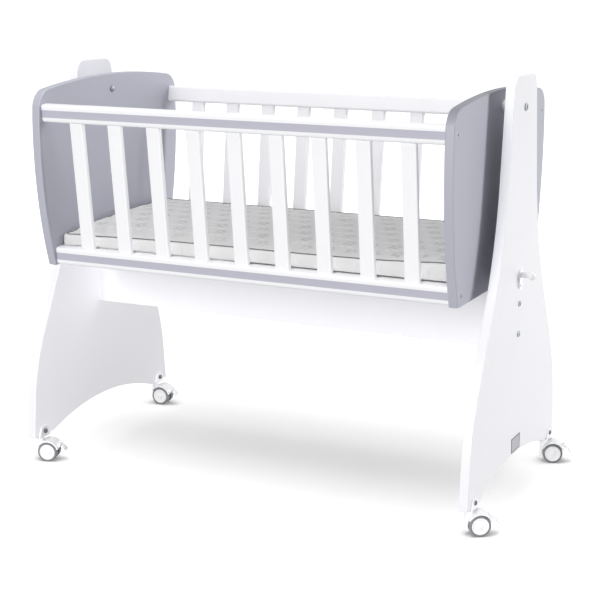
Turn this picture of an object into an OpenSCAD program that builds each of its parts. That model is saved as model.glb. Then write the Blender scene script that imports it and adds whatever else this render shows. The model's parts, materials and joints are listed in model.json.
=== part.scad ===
// Swinging cradle on a stand with four braked swivel casters.
// X runs along the cradle, Y from front to back, Z up. The origin is on the floor,
// midway between the four caster stems. All sizes are millimetres.

/* [Stand] */
// Length over the outer faces of the two stand ends
stand_l = 950; // [790:5:1140]
// Height of a stand end board, from its feet to its top
stand_h = 750; // [640:5:900]
// Thickness of the stand's boards
stand_t = 18; // [15:0.5:22]
// Depth of a stand end over its two feet
foot_span = 512; // [440:2:620]
// Flat length under each foot, outside the arch
foot_flat = 66; // [56:1:80]
// Rise of the arch between the feet
arch_rise = 33; // [20:1:45]
// Half width of a stand end at its top
head_half = 61.5; // [51:0.5:74]
// Radius of the two corners at the top of a stand end
head_r = 24; // [10:1:40]
// Half width where the straight neck meets the flare
waist_half = 95.5; // [80:0.5:115]
// Distance of that point below the top of the board
waist_drop = 306; // [255:1:360]
// Radius of the inward bend at the waist
waist_r = 655; // [300:5:700]
// How far the outward bend lies inside the foot's edge
hip_inset = 14.5; // [10:0.5:20]
// Height of the outward bend above the feet
hip_rise = 152; // [125:1:180]
// Radius of the outward bend
hip_r = 370; // [200:5:400]

/* [Stretcher] */
// Height of the stretcher board
stretcher_h = 107; // [92:1:128]
// Clearance between the stretcher and the swinging end boards
stretcher_gap = 5; // [3:0.5:10]
// Distance of the upper connecting bolt below the stretcher's top
stretcher_bolt_inset = 20; // [14:1:26]
// Distance between the two connecting bolts at one end
stretcher_bolt_pitch = 58.5; // [46:0.5:66]
// Radius of a connecting bolt
stretcher_bolt_r = 3; // [2.5:0.25:4]
// Radius of a connecting bolt's head
stretcher_head_r = 5.5; // [4.5:0.25:7]
// Radius of a barrel nut
barrel_nut_r = 5; // [4.5:0.25:6]
// Distance of a barrel nut from the end of the stretcher
barrel_nut_inset = 34; // [25:1:45]

/* [Pivot] */
// Distance of the pivot axis below the top of a stand end
pivot_drop = 58; // [48:1:70]
// Gap between a cradle end and a stand end
swing_gap = 23.5; // [19:0.5:30]
// Largest swing to either side, in degrees
swing_max = 10; // [5:1:12]
// Radius of a pivot bolt
pivot_r = 5; // [4:0.25:6]
// Radius of the head and the nut of a pivot bolt
pivot_head_r = 7; // [6.5:0.25:9]
// Outer radius of the bush in a stand end
bush_r = 8; // [7:0.25:10]
// Thickness of the bush's flange
bush_flange_t = 2; // [1:0.25:3]
// Outer radius of a pivot spacer and of the bush's flange
spacer_r = 12; // [11:0.5:15]

/* [Cradle end boards] */
// Thickness of a cradle end board
end_t = 18; // [15:0.5:22]
// Largest half width of an end board
end_half = 255; // [230:1:306]
// Height of the pivot axis above the board's lower edge
end_drop = 334; // [300:1:400]
// Height of the board's top above the pivot axis
end_rise = 31; // [26:1:38]
// Distance of the widest point below the pivot axis
belly_drop = 75; // [60:1:90]
// Radius of the curved sides
side_r = 900; // [850:5:1080]
// Radius of the curved top edge
top_edge_r = 1620; // [1350:10:1950]
// Radius of the two top corners
end_corner_r = 38; // [30:1:46]

/* [Side frames] */
// Height of a rail
rail_h = 34; // [30:0.5:41]
// Depth of a rail, from its outer to its inner face
rail_d = 22; // [19:0.5:27]
// Radius of a rail's long edges
rail_edge_r = 5; // [2:0.5:6]
// Distance of the rails' outer faces inside the end board's edge
rail_setback = 8; // [5:0.5:12]
// Height of the bottom rail's centre above the end board's lower edge
bottom_rail_rise = 20; // [19:0.5:28]
// Distance of the top rail's centre below the pivot axis
top_rail_drop = 29; // [24:1:35]
// Height of the stripe let into a rail
stripe_h = 14.5; // [12:0.5:18]
// Depth of the stripe's groove
stripe_t = 1.5; // [1:0.25:2.5]
// Number of slats in a side
slat_count = 9; // [7:1:11]
// Width of a slat
slat_w = 29; // [24:0.5:35]
// Thickness of a slat
slat_t = 12; // [10:0.5:14]
// Clear distance between an end board and the first slat
slat_end_gap = 57.5; // [47:0.5:67]
// Length of a slat's tenon
tenon_l = 10; // [8:0.5:13]
// Distance of a tenon's faces inside the slat's faces
tenon_step = 2; // [1:0.25:3]
// Radius of a rail screw
rail_screw_r = 3; // [2.5:0.25:3.5]
// Length of a rail screw inside the rail
rail_screw_l = 42; // [30:1:50]
// Radius of a dowel beside a rail screw
dowel_r = 3; // [2.5:0.25:3.5]

/* [Base and mattress] */
// Thickness of the base board
base_t = 5; // [3:0.5:8]
// Width and height of the battens under the base board
batten = 15; // [12:0.5:18]
// Distance of the mattress from the end boards
mattress_end_gap = 3; // [1:0.5:8]
// Distance of the mattress from the slats, measured at its underside
mattress_side_gap = 2.6; // [1:0.1:6]
// Height of the mattress border, from its lower to its upper piping
border_h = 32; // [26:1:40]
// Rise of the crowned top above the upper piping
crown_h = 13; // [8:0.5:18]
// Radius of the mattress corners
mattress_r = 12; // [10:1:30]
// Radius of the piping
piping_r = 1.6; // [1:0.1:2.5]
// How far the long sides are drawn in at their middle
side_pull = 3; // [0:0.5:5]

/* [Swing lock] */
// Height of the lock pin above the end board's lower edge
lock_rise = 23.5; // [19:0.5:28]
// Radius of the lock pin
lock_pin_r = 4; // [3:0.25:5]
// Radius of the ball knob
knob_r = 8.5; // [7:0.5:10]
// Distance of the knob's centre from the stand's face
knob_out = 22.5; // [19:0.5:28]
// Width of the oblong plate behind the knob
lock_plate_w = 14; // [12:0.5:17]
// Height of the oblong plate
lock_plate_h = 38; // [34:0.5:45]
// Thickness of the oblong plate
lock_plate_t = 2.5; // [1.5:0.25:4]
// Gap between the lock keeper and the stand
keeper_gap = 1.7; // [1:0.1:3]

/* [Casters] */
// Diameter of a wheel over its tyre
wheel_d = 40; // [34:0.5:48]
// Height of the stand's feet above the top of the wheels
neck_h = 13; // [12:0.5:18]
// Distance of a caster's stem from the foot's edge
stem_inset = 32; // [27:0.5:38]
// Distance of the axle from the stem
trail = 18; // [15:0.2:20]
// Width of one wheel
wheel_w = 14; // [11:0.5:16]
// Radial thickness of the tyre
tyre_t = 4; // [3:0.25:5]
// Radius of the axle
axle_r = 3; // [2.5:0.25:3.5]
// Radius of the stem
stem_r = 4; // [3.5:0.25:5]
// Thickness of the web between the wheels
web_t = 5; // [4:0.5:7]
// Wall of the hood over the wheels
hood_wall = 3; // [2:0.25:4]
// Direction in which the front left caster trails, in degrees from +X
turn_front_left = 17; // [0:1:90]
// Direction in which the front right caster trails
turn_front_right = 34; // [0:1:90]
// Direction in which the rear left caster trails
turn_rear_left = 6; // [0:1:90]
// Direction in which the rear right caster trails
turn_rear_right = 21; // [0:1:90]
// Thickness of a bracket's two flanges
flange_t = 2.5; // [1.5:0.25:3.5]
// Thickness of a bracket's web under the board
bracket_web_t = 3; // [2:0.25:4]
// Height of the bracket's bolt above the board's lower edge
bracket_bolt_rise = 9; // [8:0.5:14]
// Radius of the bracket's bolt
bracket_bolt_r = 2.5; // [2:0.25:3]

/* [Clearances] */
// Radial clearance of a shaft that turns or slides in its bore
running_fit = 0.05; // [0.02:0.01:0.09]
// Radial clearance of a fastener or a plug that stays put
seat_fit = 0.05; // [0.02:0.01:0.1]
// End play between faces that turn past each other
end_play = 0.25; // [0.2:0.05:0.5]
// Gap below and round soft parts
soft_gap = 0.3; // [0.2:0.05:1]

/* [Hidden] */
$fn = 64;

// Colours
white_board = "#F4F4F7";
grey_board = "#A9ABB8";
stripe_grey = "#B9BBC9";
white_plastic = "#F2F2F4";
dark_metal = "#4A4B50";
bright_metal = "#B8BABF";
beech = "#D9C39A";
tyre_grey = "#9A9B9F";
ticking = "#CBCBC8";

// Heights
foot_z = wheel_d + neck_h;
stand_top_z = foot_z + stand_h;
pivot_z = stand_top_z - pivot_drop;
end_bottom_z = pivot_z - end_drop;
end_top_z = pivot_z + end_rise;
belly_z = pivot_z - belly_drop;
bottom_rail_z = end_bottom_z + bottom_rail_rise;
top_rail_z = pivot_z - top_rail_drop;
// The stretcher stays under the lowest point that a swinging end board reaches over it
sweep_drop = end_drop / cos(swing_max) + stand_t / 2 * tan(swing_max);
stretcher_top_z = pivot_z - sweep_drop - stretcher_gap;
stretcher_bottom_z = stretcher_top_z - stretcher_h;
stretcher_bolt_z = stretcher_top_z - stretcher_bolt_inset;
lock_z = end_bottom_z + lock_rise;

// Places along X
stand_out = stand_l / 2;
stand_in = stand_out - stand_t;
end_out = stand_in - swing_gap;
end_in = end_out - end_t;
stem_x = stand_out - stand_t / 2;
stem_y = foot_span / 2 - stem_inset;

// Fasteners
head_h = 2.5;
head_edge = 1.2;
nut_h = 4;

// ---------- functions ----------

function unit(v) = v / norm(v);

function polar(c, r, a) = c + r * [cos(a), sin(a)];

// Points of a circular arc about c from angle a0 to angle a1
function arc(c, r, a0, a1, steps) =
  [for (i = [0 : steps]) polar(c, r, a0 + (a1 - a0) * i / steps)];

// The rounded corner at p of a line that comes from a and goes on to b
function corner(a, p, b, r, steps) =
  let (
    u = unit(a - p),
    w = unit(b - p),
    half = acos(u * w) / 2,
    c = p + unit(u + w) * r / sin(half),
    from = p + u * r / tan(half) - c,
    turn = (u[0] * w[1] - u[1] * w[0] > 0 ? -1 : 1) * (180 - 2 * half),
    start = atan2(from[1], from[0])
  )
  arc(c, r, start, start + turn, steps);

function mirrored(points) = [for (i = [len(points) - 1 : -1 : 0]) [-points[i][0], points[i][1]]];

// Outline of a rectangle w by h about the origin with corners of radius r
function rounded_rect(w, h, r, steps) =
  concat(
    arc([w / 2 - r, h / 2 - r], r, 0, 90, steps),
    arc([r - w / 2, h / 2 - r], r, 90, 180, steps),
    arc([r - w / 2, r - h / 2], r, 180, 270, steps),
    arc([w / 2 - r, r - h / 2], r, 270, 360, steps)
  );

// The upper point in which the circles (a, ra) and (b, rb) meet, with b to the left of a
function circles_meet(a, ra, b, rb) =
  let (
    d = norm(b - a),
    u = (b - a) / d,
    along = (ra * ra - rb * rb + d * d) / (2 * d),
    out = sqrt(ra * ra - along * along)
  )
  a + along * u + out * [-u[1], u[0]];

// ---------- placing helpers ----------

// A board whose outline is drawn in Y and Z, from x upwards
module board_yz(x, t) {
  translate([x, 0, 0]) rotate([90, 0, 90]) linear_extrude(t) children();
}

// A round bar along X from x0 to x1
module x_bar(r, x0, x1) {
  translate([x0, 0, 0]) rotate([0, 90, 0]) cylinder(r = r, h = x1 - x0);
}

// A body of revolution about X, its profile drawn as radius and distance along X
module x_turned() {
  rotate([0, 90, 0]) rotate_extrude() children();
}

module both_ends() {
  children();
  mirror([1, 0, 0]) children();
}

module both_sides() {
  children();
  mirror([0, 1, 0]) children();
}

// A disc of radius r and height h that rises along X from the origin, its far edge
// rounded with radius e, and a hexagon socket sunk into it
module socket_head(r, h, e) {
  difference() {
    x_turned() polygon(concat([[0, 0], [r, 0]], arc([r - e, h - e], e, 0, 90, 6), [[0, h]]));
    translate([h / 2, 0, 0]) rotate([0, 90, 0]) cylinder(r = r / 2, h = h, $fn = 6);
  }
}

// A nut of radius r and height h that rises along X, closed by a dome of height d
module cap_nut(r, h, d, bore) {
  difference() {
    x_turned() polygon([[0, 0], [r, 0], [r, h - 1], [r - 1, h], [r * 0.72, h], [r * 0.6, h + d * 0.7],
                        [r * 0.3, h + d], [0, h + d]]);
    x_bar(bore, -1, h);
  }
}

// ---------- stand ----------

stand_half = foot_span / 2;
hip = [stand_half - hip_inset, foot_z + hip_rise];
waist = [waist_half, stand_top_z - waist_drop];
head = [head_half, stand_top_z];
stand_flank = concat(
  [[stand_half, foot_z]],
  corner([stand_half, foot_z], hip, waist, hip_r, 12),
  corner(hip, waist, head, waist_r, 14),
  corner(waist, head, [0, stand_top_z], head_r, 10)
);
arch_half = stand_half - foot_flat;
arch_r = (arch_half * arch_half + arch_rise * arch_rise) / (2 * arch_rise);

module stand_board(lock_hole) {
  difference() {
    board_yz(stand_in, stand_t) difference() {
      polygon(concat(stand_flank, mirrored(stand_flank)));
      translate([0, foot_z + arch_rise - arch_r]) circle(r = arch_r, $fn = 360);
      translate([0, pivot_z]) circle(r = bush_r + seat_fit);
      for (i = [0, 1])
        translate([0, stretcher_bolt_z - i * stretcher_bolt_pitch]) circle(r = stretcher_bolt_r + seat_fit);
      for (side = [-1, 1])
        translate([side * stem_y, foot_z + bracket_bolt_rise]) circle(r = bracket_bolt_r + seat_fit);
      if (lock_hole) {
        translate([0, lock_z]) circle(r = lock_bush_r + seat_fit);
      }
    }
    if (lock_hole) {
      translate([0, 0, lock_screw_z])
        x_bar(lock_screw_r + seat_fit, stand_out - lock_screw_l - 1, stand_out + 1);
    }
  }
}

module stand_end_left() color(white_board) mirror([1, 0, 0]) stand_board(false);
module stand_end_right() color(white_board) stand_board(true);

bolt_in_stretcher = barrel_nut_inset + barrel_nut_r + 4;
barrel_nut_l = stand_t - 4;

module at_stretcher_bolts() {
  for (i = [0, 1])
    translate([0, 0, stretcher_bolt_z - i * stretcher_bolt_pitch]) both_ends() children();
}

module stretcher_board() color(white_board) {
  difference() {
    translate([-stand_in, -stand_t / 2, stretcher_bottom_z]) cube([2 * stand_in, stand_t, stretcher_h]);
    at_stretcher_bolts() {
      x_bar(stretcher_bolt_r + seat_fit, stand_in - bolt_in_stretcher - 2, stand_in + 1);
      translate([stand_in - barrel_nut_inset, stand_t / 2 + 1, 0]) rotate([90, 0, 0])
        cylinder(r = barrel_nut_r + seat_fit, h = stand_t / 2 + barrel_nut_l / 2 + 1);
    }
  }
}

module stretcher_bolts() color(dark_metal) {
  at_stretcher_bolts() {
    x_bar(stretcher_bolt_r, stand_in - bolt_in_stretcher, stand_out + head_h / 3);
    translate([stand_out, 0, 0]) socket_head(stretcher_head_r, head_h, head_edge);
  }
}

module stretcher_barrel_nuts() color(bright_metal) {
  at_stretcher_bolts() difference() {
    translate([stand_in - barrel_nut_inset, barrel_nut_l / 2, 0]) rotate([90, 0, 0])
      cylinder(r = barrel_nut_r, h = barrel_nut_l);
    x_bar(stretcher_bolt_r + seat_fit, stand_in - bolt_in_stretcher - 2, stand_in + 1);
  }
}

// ---------- pivots ----------

module at_pivots() translate([0, 0, pivot_z]) both_ends() children();

module pivot_bushes() color(white_plastic) {
  at_pivots() difference() {
    union() {
      x_bar(bush_r, stand_in, stand_out);
      x_bar(spacer_r, stand_in - bush_flange_t, stand_in);
    }
    x_bar(pivot_r + running_fit, stand_in - bush_flange_t - 1, stand_out + 1);
  }
}

module pivot_bolts() color(dark_metal) {
  at_pivots() {
    x_bar(pivot_r, end_in - nut_h + 1, stand_out + end_play + head_h / 3);
    translate([stand_out + end_play, 0, 0]) socket_head(pivot_head_r, head_h, head_edge);
  }
}

// Domed cap nuts on the inner faces of the cradle ends
module pivot_nuts() color(bright_metal) {
  at_pivots() translate([end_in, 0, 0]) mirror([1, 0, 0])
    cap_nut(pivot_head_r, nut_h, 2.5, pivot_r + seat_fit);
}

module pivot_spacers() color(white_plastic) {
  at_pivots() difference() {
    x_bar(spacer_r, end_out, stand_in - bush_flange_t - end_play);
    x_bar(pivot_r + seat_fit, end_out - 1, stand_in);
  }
}

// ---------- cradle end boards ----------

// Half width of an end board at height z, below its top corners
function end_half_at(z) = end_half - side_r + sqrt(side_r * side_r - (z - belly_z) * (z - belly_z));

side_c = [end_half - side_r, belly_z];
top_c = [0, end_top_z - top_edge_r];
corner_c = circles_meet(side_c, side_r - end_corner_r, top_c, top_edge_r - end_corner_r);
foot_a = asin((end_bottom_z - belly_z) / side_r);
corner_a0 = atan2(corner_c[1] - side_c[1], corner_c[0] - side_c[0]);
corner_a1 = atan2(corner_c[1] - top_c[1], corner_c[0] - top_c[0]);
end_flank = concat(
  arc(side_c, side_r, foot_a, corner_a0, 14),
  arc(corner_c, end_corner_r, corner_a0, corner_a1, 10),
  arc(top_c, top_edge_r, corner_a1, 90, 7)
);

module end_board() {
  board_yz(end_out - end_t, end_t) difference() {
    polygon(concat(end_flank, mirrored(end_flank)));
    translate([0, pivot_z]) circle(r = pivot_r + seat_fit);
  }
}

module cradle_end(lock_hole) {
  difference() {
    end_board();
    at_rail_ends() {
      x_bar(rail_screw_r + seat_fit, end_in - 1, end_out + 1);
      x_bar(rail_screw_head_r + seat_fit, end_out - head_h, end_out + 1);
      dowel_place() x_bar(dowel_r + seat_fit, end_in - 1, end_in + dowel_in_end + 0.5);
    }
    if (lock_hole) {
      translate([0, 0, lock_z]) x_bar(keeper_plug_r + seat_fit, end_out - keeper_plug_l - 0.3, end_out + 1);
    }
  }
}

module cradle_end_left() color(grey_board) mirror([1, 0, 0]) cradle_end(false);
module cradle_end_right() color(grey_board) cradle_end(true);

// ---------- side frames ----------

rail_y0 = end_half_at(bottom_rail_z) - rail_setback - rail_d / 2;
rail_y1 = end_half_at(top_rail_z) - rail_setback - rail_d / 2;
lean = atan2(rail_y1 - rail_y0, top_rail_z - bottom_rail_z);
rail_gap = norm([rail_y1 - rail_y0, top_rail_z - bottom_rail_z]);
rail_l = 2 * end_in;
slat_l = rail_gap - rail_h;
slat_pitch = (rail_l - 2 * slat_end_gap - slat_w) / (slat_count - 1);
rail_screw_head_r = 5.5;
dowel_l = 28;
dowel_in_end = 12;
dowel_drop = 10;

// The leaning plane of the front side: X along the rails, Y through them, Z up the slats
module side_plane() translate([0, -rail_y0, bottom_rail_z]) rotate([lean, 0, 0]) children();

// Places the right-hand ends of all four rails
module at_rail_ends() {
  both_sides() side_plane() for (up = [0, rail_gap]) translate([0, 0, up]) children();
}

module dowel_place() translate([0, 0, -dowel_drop]) children();

module slat_tenon(clear) {
  w = slat_w - 2 * tenon_step + 2 * clear;
  t = slat_t - 2 * tenon_step + 2 * clear;
  translate([-w / 2, -t / 2, 0]) cube([w, t, tenon_l + clear]);
}

module at_slats() {
  for (i = [0 : slat_count - 1]) translate([(i - (slat_count - 1) / 2) * slat_pitch, 0, 0]) children();
}

// A rail in the side plane, with mortises in the face that looks to the slats
module rail(is_top) {
  difference() {
    board_yz(-rail_l / 2, rail_l) polygon(rounded_rect(rail_d, rail_h, rail_edge_r, 5));
    translate([-rail_l / 2 - 1, -rail_d / 2 - 1, -stripe_h / 2]) cube([rail_l + 2, stripe_t + 1, stripe_h]);
    at_slats() {
      if (is_top) {
        translate([0, 0, -rail_h / 2]) slat_tenon(seat_fit);
      } else {
        translate([0, 0, rail_h / 2]) mirror([0, 0, 1]) slat_tenon(seat_fit);
      }
    }
    both_ends() {
      x_bar(rail_screw_r + seat_fit, end_in - rail_screw_l - 1, end_in + 1);
      dowel_place() x_bar(dowel_r + seat_fit, end_in + dowel_in_end - dowel_l - 1, end_in + 1);
    }
  }
}

module bottom_rail() side_plane() rail(false);
module top_rail() side_plane() translate([0, 0, rail_gap]) rail(true);

module front_top_rail() color(white_board) top_rail();
module front_bottom_rail() color(white_board) bottom_rail();
module rear_top_rail() color(white_board) mirror([0, 1, 0]) top_rail();
module rear_bottom_rail() color(white_board) mirror([0, 1, 0]) bottom_rail();

module rail_stripes() color(stripe_grey) {
  both_sides() side_plane() for (up = [0, rail_gap])
    translate([-rail_l / 2, -rail_d / 2, up - stripe_h / 2]) cube([rail_l, stripe_t, stripe_h]);
}

module slat() {
  translate([0, 0, rail_h / 2]) {
    linear_extrude(slat_l) polygon(rounded_rect(slat_w, slat_t, 3, 3));
    translate([0, 0, slat_l]) slat_tenon(0);
    mirror([0, 0, 1]) slat_tenon(0);
  }
}

module front_slats() color(white_board) side_plane() at_slats() slat();
module rear_slats() color(white_board) mirror([0, 1, 0]) side_plane() at_slats() slat();

module rail_screws() color(bright_metal) {
  both_ends() at_rail_ends() {
    x_bar(rail_screw_r, end_in - rail_screw_l, end_out - head_h * 2 / 3);
    translate([end_out - head_h, 0, 0]) socket_head(rail_screw_head_r, head_h, 0.4);
  }
}

module rail_dowels() color(beech) {
  both_ends() at_rail_ends() dowel_place()
    x_bar(dowel_r, end_in + dowel_in_end - dowel_l, end_in + dowel_in_end);
}

// ---------- base and mattress ----------

// Half width between the leaning inner faces of the bottom rails at height z
function rail_inner_at(z) = rail_y0 - rail_d / 2 / cos(lean) + tan(lean) * (z - bottom_rail_z);

// Half width between the leaning inner faces of the slats at height z
function slat_inner_at(z) = rail_y0 - slat_t / 2 / cos(lean) + tan(lean) * (z - bottom_rail_z);

base_top_z = bottom_rail_z + rail_d / 2 * sin(lean) + rail_h / 2 * cos(lean);
base_z = base_top_z - base_t;
batten_z = base_z - batten;

module base_board() color(white_board) {
  half = rail_inner_at(base_z) - 0.5;
  translate([0.5 - end_in, -half, base_z]) cube([2 * end_in - 1, 2 * half, base_t]);
}

module base_battens() color(beech) {
  inner = rail_inner_at(batten_z) - batten;
  both_sides() board_yz(-end_in, 2 * end_in) polygon([
    [-rail_inner_at(batten_z), batten_z],
    [-inner, batten_z],
    [-inner, base_z],
    [-rail_inner_at(base_z), base_z]
  ]);
}

module end_battens() color(beech) {
  half = rail_inner_at(batten_z) - batten - 0.5;
  both_ends() translate([end_in - batten, -half, batten_z]) cube([batten, 2 * half, batten]);
}

mattress_z = base_top_z + soft_gap;
mattress_l = 2 * (end_in - mattress_end_gap);
mattress_w = 2 * (slat_inner_at(mattress_z) - mattress_side_gap);
top_piping_z = mattress_z + border_h;
corner_steps = 4;
long_steps = 8;
short_steps = 4;

// How much a point at share s of a side, from -1 to 1, is drawn in
function drawn_in(pull, s) = abs(s) >= 1 ? 0 : pull * (1 - s * s);

// One level of the mattress: its outline moved inwards by inset, with the sides drawn in
function mattress_ring(inset, z) =
  let (
    r = max(mattress_r - inset, 5),
    hx = mattress_l / 2 - inset,
    hy = mattress_w / 2 - inset,
    cx = hx - r,
    cy = hy - r,
    flat = concat(
      arc([cx, cy], r, 0, 90, corner_steps),
      [for (i = [1 : long_steps - 1]) [cx - 2 * cx * i / long_steps, hy]],
      arc([-cx, cy], r, 90, 180, corner_steps),
      [for (i = [1 : short_steps - 1]) [-hx, cy - 2 * cy * i / short_steps]],
      arc([-cx, -cy], r, 180, 270, corner_steps),
      [for (i = [1 : long_steps - 1]) [2 * cx * i / long_steps - cx, -hy]],
      arc([cx, -cy], r, 270, 360, corner_steps),
      [for (i = [1 : short_steps - 1]) [hx, 2 * cy * i / short_steps - cy]]
    )
  )
  [for (p = flat) [
    p[0] - sign(p[0]) * drawn_in(side_pull / 2, p[1] / cy),
    p[1] - sign(p[1]) * drawn_in(side_pull, p[0] / cx),
    z
  ]];

// Levels from the underside, over the two piped edges, to the crown: inset and height.
// The crown follows a quarter ellipse across the half width.
function crown_at(inset) = let (s = 1 - min(inset / crown_run, 1)) crown_h * sqrt(1 - s * s);
crown_run = 110;
mattress_levels = concat(
  [[piping_r * 3, mattress_z], [piping_r, mattress_z], [0, mattress_z + piping_r],
   [piping_r, mattress_z + 2 * piping_r], [piping_r * 0.8, mattress_z + border_h * 0.35],
   [piping_r * 0.8, mattress_z + border_h * 0.65], [piping_r, top_piping_z - piping_r],
   [0, top_piping_z], [piping_r, top_piping_z + piping_r]],
  [for (inset = [4, 9, 18, 34, 60, 90, 130]) [inset, top_piping_z + piping_r + crown_at(inset)]]
);

module mattress() color(ticking) {
  rings = [for (level = mattress_levels) mattress_ring(level[0], level[1])];
  n = len(rings[0]);
  last = len(rings) - 1;
  points = concat(
    [for (ring = rings) for (p = ring) p],
    [[0, 0, mattress_z], [0, 0, rings[last][0][2]]]
  );
  under = len(points) - 2;
  over = len(points) - 1;
  polyhedron(points, concat(
    [for (k = [0 : last - 1]) for (i = [0 : n - 1])
      [k * n + i, (k + 1) * n + i, (k + 1) * n + (i + 1) % n]],
    [for (k = [0 : last - 1]) for (i = [0 : n - 1])
      [k * n + i, (k + 1) * n + (i + 1) % n, k * n + (i + 1) % n]],
    [for (i = [0 : n - 1]) [under, i, (i + 1) % n]],
    [for (i = [0 : n - 1]) [over, last * n + (i + 1) % n, last * n + i]]
  ));
}

// ---------- swing lock ----------

lock_bush_r = 6;
lock_screw_r = 2;
lock_screw_l = 12;
plate_r = lock_plate_w / 2;
lock_plate_z = lock_z + plate_r + 4 - lock_plate_h / 2;
lock_screw_z = lock_plate_z - lock_plate_h / 2 + plate_r;
plate_out = stand_out + lock_plate_t;
keeper_r = 8;
keeper_plug_r = 6;
keeper_plug_l = 12;
pin_in_knob = 10;
knob_neck_r = lock_pin_r + 1.5;
knob_neck_out = lock_plate_t + 0.8;

module lock_plate() color(bright_metal) {
  board_yz(stand_out, lock_plate_t) translate([0, lock_plate_z]) difference() {
    polygon(rounded_rect(lock_plate_w, lock_plate_h, plate_r - 0.01, 10));
    translate([0, lock_z - lock_plate_z]) circle(r = lock_pin_r + running_fit);
    translate([0, lock_screw_z - lock_plate_z]) circle(r = lock_screw_r + seat_fit);
  }
}

module lock_plate_screw() color(bright_metal) translate([0, 0, lock_screw_z]) {
  x_bar(lock_screw_r, stand_out - lock_screw_l, plate_out + 0.5);
  translate([plate_out, 0, 0]) socket_head(lock_screw_r * 1.9, 2, 0.9);
}

module lock_bush() color(white_plastic) translate([0, 0, lock_z]) difference() {
  x_bar(lock_bush_r, stand_in, stand_out);
  x_bar(lock_pin_r + running_fit, stand_in - 1, stand_out + 1);
}

module lock_pin() color(bright_metal) translate([0, 0, lock_z])
  x_bar(lock_pin_r, stand_in, stand_out + knob_out - knob_r + pin_in_knob);

module lock_knob() color(white_plastic) translate([stand_out, 0, lock_z]) difference() {
  x_turned() polygon(concat(
    [[0, knob_neck_out], [knob_neck_r, knob_neck_out]],
    arc([0, knob_out], knob_r, -acos(knob_neck_r / knob_r), 90, 18)
  ));
  x_bar(lock_pin_r + seat_fit, 0, knob_out - knob_r + pin_in_knob + 0.2);
}

module lock_keeper() color(white_plastic) translate([0, 0, lock_z]) difference() {
  union() {
    x_bar(keeper_plug_r, end_out - keeper_plug_l, end_out);
    x_bar(keeper_r, end_out, stand_in - keeper_gap);
  }
  x_bar(lock_pin_r + 0.3, end_out, stand_in);
}

// ---------- casters ----------

wheel_r = wheel_d / 2;
hub_r = wheel_r - tyre_t;
wheel_in = web_t / 2 + 0.6;
wheel_out = wheel_in + wheel_w;
clear_r = wheel_r + 1.2;
hood_r = clear_r + hood_wall;
axle_c = [trail, wheel_r];
boss_r = stem_r + 3.5;
bracket_z = foot_z - bracket_web_t;
stem_flange_t = 2;
stem_flange_r = 8;
boss_top_z = bracket_z - stem_flange_t - 0.4;
// The boss reaches down behind the wheels as a skirt
boss_bottom_z = wheel_r / 2;
// The stem ends above the wheels, measured on its side nearest the axle
stem_end_z = wheel_r + sqrt(clear_r * clear_r - pow(trail - stem_r - 1, 2)) + 1;
hood_a0 = 16;
hood_a1 = 152;
web_a1 = 148;
lever_a = 32;
lever_c = polar(axle_c, hood_r + 3.3, lever_a);
lever_pin_r = 1.5;
lever_barrel_r = 2.9;
ear_r = 3.6;
ear_in = 6.2;
ear_out = 8.7;
// The pedal is a strip that bends down from the lever's pin about pedal_c
pedal_bend = 24;
pedal_a = 66;
pedal_tip_a = 23;
pedal_c = polar(lever_c, pedal_bend, pedal_a + 180);
pedal_w = 17;
pedal_t = 2.4;
pedal_corner_r = 3.5;
root_t = 3.6;

function turn_at(x_side, y_side) =
  x_side < 0
    ? (y_side < 0 ? turn_front_left : turn_rear_left)
    : (y_side < 0 ? turn_front_right : turn_rear_right);

// A caster's own frame: the stem on Z, the floor at 0, the axle at +X
module at_caster(x_side, y_side) {
  translate([x_side * stem_x, y_side * stem_y, 0]) rotate([0, 0, turn_at(x_side, y_side)]) children();
}

// A plate whose outline is drawn in X and Z, of thickness t about Y = 0
module plate_xz(t) {
  rotate([90, 0, 0]) linear_extrude(t, center = true) children();
}

// The sector between two angles about the axle
module axle_sector(r, a0, a1) {
  intersection() {
    translate(axle_c) circle(r = r);
    polygon(concat([axle_c], arc(axle_c, 2 * r, a0, a1, 5)));
  }
}

// A strip of thickness t along a circle of radius r about c, between two angles
module strip(c, r, t, a0, a1) {
  intersection() {
    difference() {
      translate(c) circle(r = r + t / 2);
      translate(c) circle(r = r - t / 2);
    }
    polygon(concat([c], arc(c, 2 * r, a0, a1, 5)));
  }
}

module y_bar(c, r, y0, y1) {
  translate([c[0], y1, c[1]]) rotate([90, 0, 0]) cylinder(r = r, h = y1 - y0);
}

module caster_hood() {
  difference() {
    union() {
      difference() {
        union() {
          plate_xz(2 * wheel_out) axle_sector(hood_r, hood_a0, hood_a1);
          translate([0, 0, boss_bottom_z]) cylinder(r = boss_r, h = boss_top_z - boss_bottom_z);
        }
        for (side = [0, 1]) mirror([0, side, 0]) y_bar(axle_c, clear_r, web_t / 2, wheel_out + 10);
      }
      plate_xz(web_t) {
        axle_sector(hood_r - hood_wall / 2, hood_a0, web_a1);
        translate(axle_c) circle(r = axle_r + 4);
      }
      for (side = [0, 1]) mirror([0, side, 0])
        translate([0, (ear_in + ear_out) / 2, 0]) plate_xz(ear_out - ear_in) {
          translate(lever_c) circle(r = ear_r);
          polygon([
            polar(axle_c, hood_r - 1, lever_a - 14),
            polar(lever_c, ear_r, lever_a - 90),
            polar(lever_c, ear_r, lever_a + 90),
            polar(axle_c, hood_r - 1, lever_a + 14)
          ]);
        }
      y_bar(lever_c, lever_pin_r, -ear_out, ear_out);
    }
    y_bar(axle_c, axle_r + seat_fit, -web_t, web_t);
    translate([0, 0, stem_end_z - 0.3]) cylinder(r = stem_r + running_fit, h = boss_top_z);
  }
}

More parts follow.
